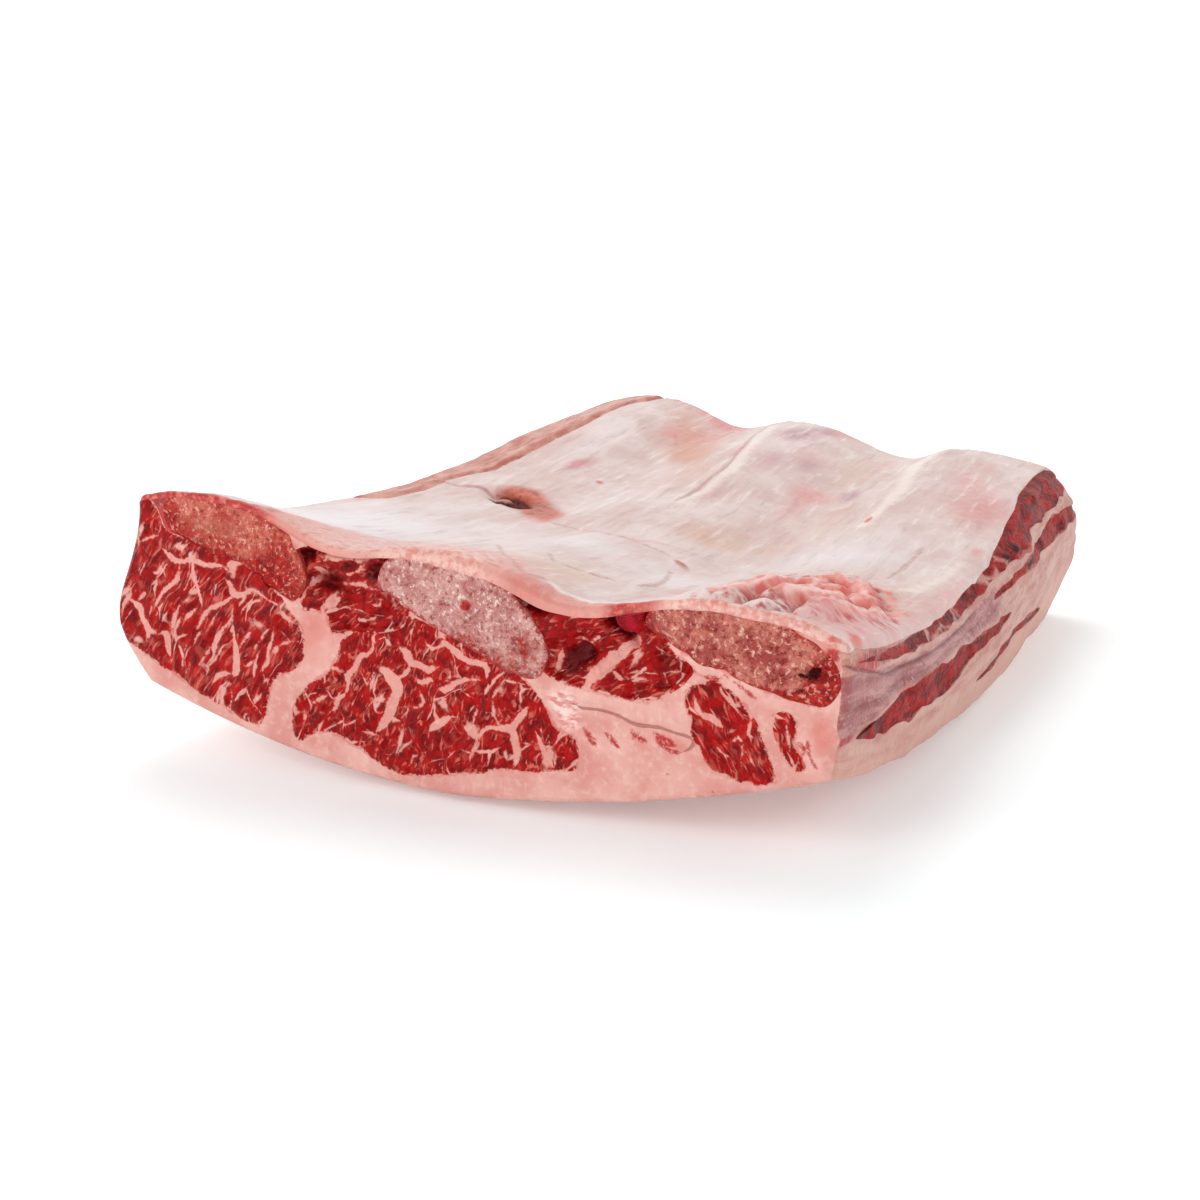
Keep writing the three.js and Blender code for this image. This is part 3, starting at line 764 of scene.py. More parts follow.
def carry(x, z, s):
    """Points of the front cut carried along the ribs, in metres: depth is kept near the top, and
    below that a point stays at the same share of the height over the underside."""
    inside = np.clip(s, 0.0, LENGTH)
    start = crown(x, 0.0)
    top = crown(x, inside)
    depth = start - z
    part = (z - sole(x, 0.0)) / (start - KEEP - sole(x, 0.0))
    deep = mix(sole(x, inside), top - KEEP, part)
    height = np.where(depth > KEEP, deep, top - depth)
    return np.stack([fan(x, inside) + CENTRE_X, s + CENTRE_Y, height], axis=-1) * 0.001


def run_through(name, ring):
    """The ring carried from past the back cut to past the front cut, closed by a face at each end."""
    stations = 34
    count = len(ring)
    station = np.repeat(np.linspace(LENGTH + 8.0, -8.0, stations), count)
    x = np.tile(ring[:, 0], stations)
    z = np.tile(ring[:, 1], stations)
    i = np.arange(count)
    j = np.arange(stations - 1)[:, None] * count
    after = (i + 1) % count
    quads = np.stack([j + i, j + after, j + count + after, j + count + i], axis=-1).reshape(-1, 4)
    faces = quads.tolist() + [i[::-1].tolist(), (i + (stations - 1) * count).tolist()]
    area = np.sum(ring[:, 0] * np.roll(ring[:, 1], -1) - np.roll(ring[:, 0], -1) * ring[:, 1])
    if area < 0.0:
        faces = [face[::-1] for face in faces]
    mesh = bpy.data.meshes.new(name)
    mesh.from_pydata(carry(x, z, station).tolist(), [], faces)
    return link(name, mesh)


def inside_ring(ring, x, z):
    """Distance in from a closed outline: positive inside it and negative outside."""
    nearest = np.full(x.shape, 1e6)
    within = np.zeros(x.shape, bool)
    for (ax, az), (bx, bz) in zip(ring, np.roll(ring, -1, 0)):
        dx = bx - ax
        dz = bz - az
        t = np.clip(((x - ax) * dx + (z - az) * dz) / (dx * dx + dz * dz + 1e-12), 0.0, 1.0)
        nearest = np.minimum(nearest, np.hypot(x - ax - t * dx, z - az - t * dz))
        crosses = (az > z) != (bz > z)
        within ^= crosses & (x < ax + (z - az) * dx / (dz if dz else 1e-12))
    return np.where(within, nearest, -nearest)


core_cells = ((500, 190, 170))
core_x, core_s, core_z, _, core_quads = slab(*core_cells, 0.5)
core = new_piece("core", model_points(core_x, core_s, core_z), core_quads)
taken = {"room": lining_room}


def cut_out(name, region):
    """The piece of the slab in a region, less the room that earlier pieces have taken."""
    clear = carve(name + "_clear", region, taken["room"], "DIFFERENCE")
    piece = carve(name, core, clear, "INTERSECT")
    taken["room"] = carve("room", taken["room"], clear, "UNION")
    return piece


def raise_cuts(piece, place, points, height):
    """Moves the corners of the two sawn ends outwards by a height in millimetres."""
    front = smooth((0.9 - place[:, 1]) / 0.8)
    back = smooth((place[:, 1] - LENGTH + 0.9) / 0.8)
    points[:, 1] += height * (back - front)
    set_corners(piece, points)
    piece.data.update()


def drifting(place):
    """The place on the front cut to read a seam at: true at the front, wandering further back."""
    x, s, z = place.T
    away = smooth(s / 70.0) * 7.0
    return x + away * cloud(place, 34.0), z + away * 0.7 * cloud(place + 60.0, 34.0)


# Where the sawn bone is dense and smooth, as ovals like those above.
PLAIN_BONE = {
    "rib_left": ((-83, 70.5, 7, 3.2, -8, 0.95), (-74, 69.5, 5, 3.4, -20, 0.8)),
    "rib_middle": ((-12, 62, 5, 4, 0, 0.6),),
    "rib_right": ((66, 55.5, 3.5, 2, 0, 0.8), (92, 54, 4, 1.5, -20, 0.5)),
}
# Two tones of each bone, its grains and its pores.
BONE_TONES = {
    "rib_left": (shade(182, 60, 50), shade(206, 108, 90), shade(238, 176, 160), shade(134, 12, 12)),
    "rib_middle": (shade(192, 124, 117), shade(214, 158, 149), shade(242, 214, 205),
                   shade(140, 50, 48)),
    "rib_right": (shade(164, 68, 64), shade(208, 122, 106), shade(234, 180, 160), shade(122, 18, 18)),
}


def bone_finish(piece, name):
    """Sawn spongy bone: two tones of pink-grey with pale grains and red pores, and bloody areas."""
    start = new_finish(name + "_sawn", piece)
    dull, light, grain, pore = BONE_TONES[name]
    place = start.noted("place", "Vector").squeezed((1.0, 0.4, 1.0))
    rough = place.speckle(2.6, 5.0, 0.7)
    drift = place.speckle(8.0, 3.0, 0.55)
    crumb = place.wandered(1.0, 0.9).speckle(1.15, 3.0, 0.6)
    cell = place.wandered(1.5, 0.8).grit(1.15)
    raised = crumb.between(0.54, 0.66)
    sunken = crumb.between(0.45, 0.34)
    dense = rough.between(0.40, 0.56)
    bone = drift.between(0.40, 0.60).pick(dull, light)
    plain = (start.noted("plain") + (rough - 0.5) * 1.2).between(0.3, 0.8)
    bone = plain.pick(bone, drift.between(0.42, 0.60).pick(shade(190, 100, 82), light))
    dense = dense * (1.0 - plain * 0.85)
    bone = (cell.between(0.3, 0.95) * 0.35).pick(bone, dull)
    bone = (raised * (0.25 + dense * 0.65)).pick(bone, grain)
    bone = (sunken * (0.20 + dense * 0.60)).pick(bone, pore)
    blood = (start.noted("blood") + (rough - 0.5) * 1.7 + (crumb - 0.5) * 0.8).between(0.25, 0.95)
    raw = cell.between(0.2, 0.8).pick(shade(128, 4, 5), shade(180, 22, 18))
    raw = (raised * 0.7).pick(raw, shade(232, 150, 134))
    bone = (blood * 0.92).pick(bone, raw)
    shell = (start.noted("inside") + (rough - 0.5) * 4.5 + (crumb - 0.5) * 2.0).between(1.1, 0.2)
    bone = (shell * 0.75).pick(bone, shade(164, 24, 20))
    # Painted shade: near-black in the sunk holes.
    hole = (start.noted("hole") + (rough - 0.5) * 1.2).between(0.40, 0.75)
    bone = hole.pick(bone, shade(64, 4, 5))
    height = crumb * 1.2 + rough * 0.7
    gloss = 0.50 - blood * 0.16 + crumb * 0.1
    values = {"Base Color": bone, "Roughness": gloss, "Specular IOR Level": 0.22}
    start.dress(values, height, 0.0013)


for bone_name, bone_corners in BONES.items():
    bone_ring = ring_of(bone_corners, 1.2, 0.8)
    bone_piece = cut_out(bone_name + "_bone", run_through(bone_name + "_run", bone_ring))
    bone_place, bone_points = front_place(bone_piece)
    bone_x, bone_s, bone_z = bone_place.T
    deep_in = inside_ring(bone_ring, bone_x, bone_z)
    swell = smooth(deep_in / 1.2)
    pits = 0.42 * cloud(bone_place, 1.5) + 0.5 * cloud(bone_place + 9.0, 4.0)
    pits = pits - 1.8 * patches(SHADED_HOLES, bone_x, bone_z) * smooth((60.0 - bone_s) / 20.0)
    raise_cuts(bone_piece, bone_place, bone_points, swell * (0.25 + pits))
    note(bone_piece, "place", bone_place)
    note(bone_piece, "inside", deep_in)
    note(bone_piece, "blood", patches(BLOODY[bone_name], bone_x, bone_z))
    note(bone_piece, "plain", patches(PLAIN_BONE[bone_name], bone_x, bone_z))
    note(bone_piece, "hole", patches(SHADED_HOLES, bone_x, bone_z) * (bone_s < 60.0))
    bone_finish(bone_piece, bone_name)
    settle(bone_piece, bone_name)

# ---- The strips of flank meat ----
# Four thin strips of red meat that the long right-hand cut lays open, with white films across
# them. Each is a tapered block, between an upper and a lower edge that follow the slab's side.
STRIPS = {
    "flank_upper": (16.0,
                    ((8, 3.6), (40, 1.8), (78, 0.8), (150, 0.4), (200, -3), (286, -6)),
                    ((8, 5.4), (44, 6.4), (84, 5.4), (120, 4.8), (154, 4.6), (206, 7), (286, 9))),
    "flank_rear": (13.0,
                   ((148, 7), (202, 8.6), (250, 9), (286, 10.5)),
                   ((148, 9.4), (188, 11), (209, 13.6), (240, 16), (286, 16.5))),
    "flank_middle": (15.0,
                     ((12, 22.5), (37, 17.3), (52, 14.4), (74, 12.6), (101, 11.4), (134, 13.2),
                      (162, 15)),
                     ((12, 26), (30, 27.2), (54, 25.8), (86, 23.6), (102, 19), (130, 17),
                      (162, 18))),
    "flank_lower": (11.0,
                    ((126, 26.5), (140, 24.4), (167, 23.8), (186, 26), (212, 30.6)),
                    ((126, 29.4), (153, 28), (176, 28.4), (212, 33.6))),
}


# Pockets torn in the upper strip, painted near-black as their shade, as ovals of s and the depth under the
# top.
SHADED_POCKETS = ((176, 2.6, 3.4, 1.0, 0, 1.0), (187, 3.2, 4.0, 1.3, 0, 1.0), (168, 5.0, 2.0, 0.9, 0, 0.8))


def side_top(s):
    """Height of the top of the slab at its right edge."""
    return crown(RIGHT_EDGE, s)


def strip_block(name, depth, top, bottom):
    """A block between two edges given as s and the depth under the top, narrowed to both ends."""
    steps, quads = lattice(6, 150, 3)
    across, along, up = steps.T
    s = mix(top[0][0], top[-1][0], along)
    x = mix(RIGHT_EDGE - depth, RIGHT_EDGE + 14.0, across)
    taper = np.sqrt(1.0 - (2.0 * along - 1.0) ** 4) * np.sqrt(np.minimum(1.0, 0.25 + across))
    place = np.stack([s, up * 30.0 + 7.0, s * 0.0], axis=-1)
    high = read_off(top, s)
    low = read_off(bottom, s)
    ragged = 1.0 + 0.32 * cloud(place, 8.0) + 0.14 * cloud(place + 30.0, 4.0)
    half = (low - high) / 2.0 * np.maximum(0.12, taper) * ragged
    z = side_top(s) - (high + low) / 2.0 + mix(-half, half, up)
    return new_piece(name, model_points(x, s, z), quads)


def flank_finish(piece, name):
    """Red meat, blotched dark and bright, with some pale films across it and a veil in front."""
    start = new_finish(name + "_meat", piece)
    place = start.noted("place", "Vector").squeezed((1.0, 0.42, 1.0))
    lumps = place.speckle(3.6, 4.0, 0.62)
    fine = place.speckle(1.1, 4.0, 0.65)
    ragged = (lumps - 0.5) * 1.6 + (fine - 0.5) * 1.2
    banded = start.noted("banded")
    wavy = place.wandered(7.0, 5.0)
    meat = lumps.between(0.36, 0.62).pick(shade(88, 0, 3), shade(160, 4, 8))
    meat = (fine.between(0.54, 0.70) * 0.28).pick(meat, shade(184, 36, 34))
    broad = place.squeezed((0.3, 1.0, 0.5)).speckle(7.0, 2.0)
    film = wavy.squeezed((0.2, 1.0, 0.45)).veins(6.5) + ragged * 0.5 - (broad - 0.5) * 4.0
    film = film.between(0.7, -0.2) * banded
    threads = place.wandered(3.0, 2.0).speckle(1.6, 3.0, 0.6)
    meat = (threads.between(0.62, 0.76) * (0.03 + banded * 0.25)).pick(meat, shade(204, 128, 120))
    meat = (film * 0.85).pick(meat, shade(212, 152, 142))
    veil = (place.speckle(7.0, 3.0) + ragged * 0.12 + start.noted("veil")).between(0.55, 0.80)
    veiled = fine.between(0.40, 0.62).pick(shade(168, 96, 98), shade(208, 166, 158))
    meat = (veil * 0.9).pick(meat, veiled)
    rim = (start.noted("rim") + ragged * 1.9).between(0.7, -0.3)
    meat = (rim * 0.8).pick(meat, shade(190, 112, 102))
    # Painted shade: near-black in the torn pockets.
    meat = start.noted("pocket").between(0.3, 0.8).pick(meat, shade(60, 0, 3))
    gloss = 0.34 + fine * 0.2
    height = lumps + fine * 0.5
    values = {"IOR": 1.3, "Base Color": meat, "Roughness": gloss, "Specular IOR Level": 0.12}
    start.dress(values, height, 0.0009)


for strip_name, (strip_depth, strip_top, strip_bottom) in STRIPS.items():
    strip_region = strip_block(strip_name + "_run", strip_depth, strip_top, strip_bottom)
    strip_piece = cut_out(strip_name + "_strip", strip_region)
    strip_place, strip_points = front_place(strip_piece)
    strip_x, strip_s, strip_z = strip_place.T
    below = side_top(strip_s) - strip_points[:, 2]
    strip_rim = np.minimum(below - read_off(strip_top, strip_s), read_off(strip_bottom, strip_s) - below)
    pocket = 0.0 * strip_s
    veil_share = pocket - 0.1
    band_share = pocket + 0.1
    if strip_name == "flank_upper":
        pocket = patches(SHADED_POCKETS, strip_s, below)
        veil_share = read_off(((5, 0.10), (14, -0.06), (60, -0.06), (78, -0.1), (90, -0.2)), strip_s)
        band_share = read_off(((60, 0.5), (75, 1.0), (168, 0.9), (186, 0.15)), strip_s)
    block = 0.6 * np.abs(cloud(strip_place * (0.3, 0.4, 1.0), 7.0)) + 1.6 * pocket
    lumpy = 0.4 * cloud(strip_place * (1.0, 0.45, 1.0), 3.0)
    sunk = smooth(strip_rim / 1.5) * (0.4 - 1.5 * block + lumpy)
    strip_points[:, 0] -= sunk * smooth((strip_x - RIGHT_EDGE + 4.0) / 3.0)
    set_corners(strip_piece, strip_points)
    note(strip_piece, "place", strip_place)
    note(strip_piece, "rim", strip_rim)
    note(strip_piece, "pocket", pocket)
    note(strip_piece, "veil", veil_share)
    note(strip_piece, "banded", band_share)
    flank_finish(strip_piece, strip_name)
    settle(strip_piece, strip_name)

# ---- The meat between the ribs ----
# Dark wet red meat that fills the spaces between the bones, torn and hollow where it was sawn,
# with a few soft bands of fat. Lines of fat are given as x, z and half-width on the front cut.
RIB_MEAT = {
    "intercostal_left": ((-54, 64), (-46, 68), (-34, 67), (-22, 68), (-18, 60), (-17, 52),
                         (-20, 47), (-32, 45), (-42, 43.5), (-44, 49), (-51, 49.5)),
    "intercostal_right": ((14, 61), (24, 58.5), (36, 58.5), (49, 61.5), (56, 59), (58, 50),
                          (64, 46), (59, 40), (52, 36), (40, 36.5), (29, 38), (18, 44)),
}
RIB_MEAT_FAT = {
    "intercostal_left": (
        ((-48.6, 61, 0.8), (-45.9, 59.4, 1.1), (-49.9, 55.3, 0.5), (-51.8, 51.4, 0.4)),
        ((-43.4, 56.4, 0.3), (-37.4, 57.4, 0.3), (-32.1, 57.5, 0.6), (-24.8, 56.8, 0.4)),
        ((-37.3, 60.2, 0.4), (-34.6, 60.9, 0.4), (-31.4, 63.5, 0.3)),
        ((-44.7, 63.2, 0.6), (-39.8, 64.1, 0.7), (-34, 64.1, 0.6), (-27.6, 65.2, 0.4)),
        ((-39.2, 53.6, 0.5), (-42.5, 51.4, 0.9), (-45.9, 49.2, 1.2)),
        ((-38.3, 50.9, 0.2), (-35.6, 50.2, 0.2), (-32.9, 51.9, 0.2)),
        ((-29.2, 53.2, 0.2), (-27.1, 52.5, 0.2), (-26, 54.4, 0.2)),
        ((-35.2, 48.4, 0.2), (-31.5, 47.9, 0.2), (-28.3, 49.1, 0.2)),
    ),
    "intercostal_right": (
        ((33.5, 37.0, 2.0), (38.2, 42.6, 2.0), (42.2, 46.2, 1.7), (46.3, 49.6, 1.2),
         (49.8, 53.0, 1.2)),
        ((30.8, 48.2, 0.8), (33, 49.5, 0.6), (35.8, 49.3, 0.4), (38, 51.1, 0.3)),
        ((47.4, 41.8, 0.4), (49.5, 43.6, 0.4), (51.2, 44.8, 0.3)),
        ((51.7, 42.3, 0.6), (52.3, 39.3, 1)),
        ((54.9, 43.2, 0.3), (56, 41.3, 0.5)),
        ((40.8, 43.1, 0.5), (43, 40.7, 0.4), (45.2, 41.5, 0.3)),
        ((40.3, 35.7, 0.8), (44.1, 35.1, 0.8), (47.4, 33.5, 0.9)),
        ((54.3, 52.9, 0.2), (54.3, 48.3, 0.2)),
        ((45.7, 45.2, 0.4), (47.4, 46.4, 0.3), (49.5, 48.2, 0.3)),
        ((47.4, 40.7, 0.4), (49.6, 41.5, 0.4), (51.2, 41.2, 0.3)),
        ((49.5, 51.8, 0.7), (47.9, 49.6, 0.8), (46.3, 48.4, 0.7)),
        ((26.8, 47.2, 0.4), (26.2, 42.9, 0.5), (25.1, 39.6, 0.8)),
    ),
}
# Sunken hollows, sunk in the relief and painted near-black as their shade, as ovals of x, z, half-width,
# half-height, turn, strength.
SHADED_HOLLOWS = (
    (-43, 57.5, 6, 3.2, 0, 1.0), (-27, 61.5, 6, 3.0, 12, 0.9), (-50, 64.5, 2.6, 2.2, 0, 0.9),
    (30, 43.5, 3.2, 5.0, -40, 1.1), (19, 57.5, 4.5, 2.2, -25, 0.9), (43, 55.5, 4, 3.5, 0, 0.6),
    (57, 47, 4, 2.5, 0, 0.5), (-37, 62.5, 4, 1.6, 0, 0.6), (34, 46.5, 3.0, 2.4, -40, 1.0),
    (44, 54, 6.5, 2.0, -50, 0.9), (29, 57.5, 9, 1.4, 0, 0.5), (-34, 66, 12, 1.2, 0, 0.7),
)
KNOB = ((46.6, 58.2, 3.6, 4.4, 0, 1.3),)


def curved(path):
    """The corners of a path joined by a smooth curve, and its half-width brought to a point."""
    corners = np.array(path, float)
    corners[0, 2] = corners[0, 2] * 0.3 - 0.15
    corners[-1, 2] = corners[-1, 2] * 0.3 - 0.15
    if len(corners) < 3:
        return corners
    before = np.vstack([corners[:1], corners[:-2]])
    after = np.vstack([corners[2:], corners[-1:]])
    p1 = corners[:-1, None]
    p2 = corners[1:, None]
    t = np.array([0.0, 0.34, 0.67])[None, :, None]
    leave = (p2 - before[:, None]) / 2.0
    arrive = (after[:, None] - p1) / 2.0
    curve = cubic_curve(t, p1, p2, leave, arrive)
    return np.vstack([curve.reshape(-1, 3), corners[-1:]])


def nearest_seam(seams, x, z):
    """The smallest distance to any of the seams, drawn as smooth curves, less its half-width."""
    return nearest_line([curved(path) for path in seams], x, z, 12.0)


def meat_finish(piece, name, cells, turn, stretch, vein, least, rough, dark, bright):
    """Red meat marbled with fat: drawn seams, then veins that swell and break off between bundles
    stretched and turned one way, then short flecks, over fibres of darker and brighter red."""
    start = new_finish(name + "_meat", piece)
    place = start.noted("place", "Vector")
    lumps = place.speckle(3.6, 4.0, 0.6)
    fine = place.speckle(1.1, 3.0, 0.6)
    ragged = (lumps - 0.5) * 1.6 * rough + (fine - 0.5) * 1.1
    wavy = place.wandered(13.0, 8.0).wandered(3.0, 1.3)
    bundles = wavy.squeezed((1.0, 0.12, 1.0), turn).squeezed((stretch, 1.0, 1.0))
    swelling = place.squeezed((1.0, 0.3, 1.0)).speckle(6.5, 2.0)
    web = bundles.veins(cells) + ragged * 0.35 - ((least + (swelling - 0.5) * vein) & 0.45)
    web = web.between(0.16, -0.16)
    narrow = place.squeezed((1.0, 0.3, 1.0)).speckle(4.0, 2.0)
    hair = bundles.veins(cells * 0.45) + ragged * 0.2 - (narrow - 0.5) * 1.5
    hair = hair.between(0.12, -0.12) * 0.55
    along = place.wandered(9.0, 5.0).squeezed((1.0, 0.12, 1.0), turn)
    along = along.squeezed((stretch * 0.6, 1.0, 1.0))
    fibres = along.speckle(1.4, 3.0, 0.6)
    flecks = along.speckle(0.95, 3.0, 0.55).between(0.57, 0.66) * narrow.between(0.36, 0.56)
    seam = (start.noted("seam") + ragged * 1.05).between(0.14, -0.26)
    rim = (start.noted("inside") + ragged * 1.9).between(0.50, -0.15)
    sunk = (start.noted("sunk") + ragged * 0.35).between(0.25, 0.8)
    fatty = (seam | web | rim) * (1.0 - sunk)
    meat = lumps.between(0.36, 0.64).pick(dark, bright)
    meat = (fibres.between(0.50, 0.70) * 0.35).pick(meat, shade(190, 18, 17))
    meat = (fibres.between(0.46, 0.30) * 0.6).pick(meat, shade(92, 0, 2))
    meat = (flecks * 0.68).pick(meat, shade(216, 112, 98))
    meat = (hair * 0.72).pick(meat, shade(198, 88, 76))
    # Painted shade: near-black in the sunken hollows.
    meat = (sunk * 0.9).pick(meat, shade(74, 0, 3))
    fringe = (start.noted("seam") + ragged * 0.75).between(1.1, 0.1) * 0.25
    meat = fringe.pick(meat, shade(196, 40, 36))
    tone = fat_colour(place)
    vein_tone = fine.between(0.35, 0.65).pick(shade(218, 146, 134), tone)
    colour = fatty.pick(meat, vein_tone)
    knob_tone = lumps.between(0.40, 0.62).pick(shade(120, 0, 14), shade(178, 14, 40))
    colour = start.noted("knob").between(0.35, 0.6).pick(colour, knob_tone)
    gloss = 0.36 + fatty * 0.1 + fine * 0.14
    height = lumps * 0.9 + fibres * 0.4 + fine * 0.35
    values = {"Base Color": colour, "Roughness": gloss, "Specular IOR Level": 0.16}
    start.dress(values, height, 0.0009)


for meat_name, meat_corners in RIB_MEAT.items():
    meat_ring = ring_of(meat_corners, 1.5, 0.55)
    meat_piece = cut_out(meat_name + "_meat", run_through(meat_name + "_run", meat_ring))
    meat_place, meat_points = front_place(meat_piece)
    read_x, read_z = drifting(meat_place)
    deep_in = inside_ring(meat_ring, meat_place[:, 0], meat_place[:, 2])
    seam_gap = nearest_seam(RIB_MEAT_FAT[meat_name], read_x, read_z)
    sunken = patches(SHADED_HOLLOWS, read_x, read_z)
    knob = patches(KNOB, read_x, read_z) * (meat_place[:, 1] < 4.0)
    torn_lumps = 1.3 * cloud(meat_place, 4.2) + 0.55 * cloud(meat_place + 21.0, 1.8)
    lifted = smooth(deep_in / 2.0) * (torn_lumps - 1.2 - 3.6 * np.minimum(1.0, sunken))
    lifted = lifted + smooth(deep_in / 1.2) * smooth(seam_gap / 2.0 - 0.2) * 0.6
    lifted = mix(lifted, 2.6 * np.sqrt(np.clip(knob - 0.35, 0.0, 1.0)), smooth(knob * 3.0 - 0.6))
    raise_cuts(meat_piece, meat_place, meat_points, lifted)
    note(meat_piece, "place", meat_place)
    note(meat_piece, "inside", deep_in)
    note(meat_piece, "seam", seam_gap)
    note(meat_piece, "sunk", sunken)
    note(meat_piece, "knob", knob)
    meat_tones = (shade(110, 0, 1), shade(158, 1, 4))
    meat_finish(meat_piece, meat_name, 8.0, 24.0, 0.5, 2.5, 0.0, 1.7, *meat_tones)
    settle(meat_piece, meat_name)

# ---- The marbled muscles ----
# The thick muscles under the ribs: bundles of red fibre parted by seams and veins of white fat.
# Each is an outline on the front cut run through the slab. The main seams are drawn as x, z and
# half-width, and between them the cut bundles bulge a little.
MUSCLES = {
    "muscle_left": ((-120, 76), (-101, 76), (-96, 68), (-84, 65), (-72, 61), (-62, 56), (-56, 49),
                    (-51, 40), (-53, 33), (-62, 28), (-65, 18), (-68, 13.5), (-82, 18.5),
                    (-96, 25), (-108, 31), (-122, 38), (-124, 58)),
    "muscle_middle": ((-43, 33), (-38, 42), (-30, 47.5), (-18, 51), (-6, 47.5), (6, 42.5),
                      (17, 38), (22, 33), (26, 26), (32, 24), (32, 16), (22, 13.5), (10, 12),
                      (-4, 8.6), (-20, 6.4), (-32, 10.5), (-44, 15.5), (-55, 12), (-56, 20),
                      (-50, 28)),
    "muscle_right": ((62, 40), (70, 43.5), (78, 38), (83, 28), (85.5, 20), (80, 18.5),
                     (70, 20.5), (64, 29)),
    "muscle_sliver": ((84.5, 37), (88, 38.5), (90.5, 36), (90, 31), (93, 25), (90.5, 23.5),
                      (86.5, 28)),
}
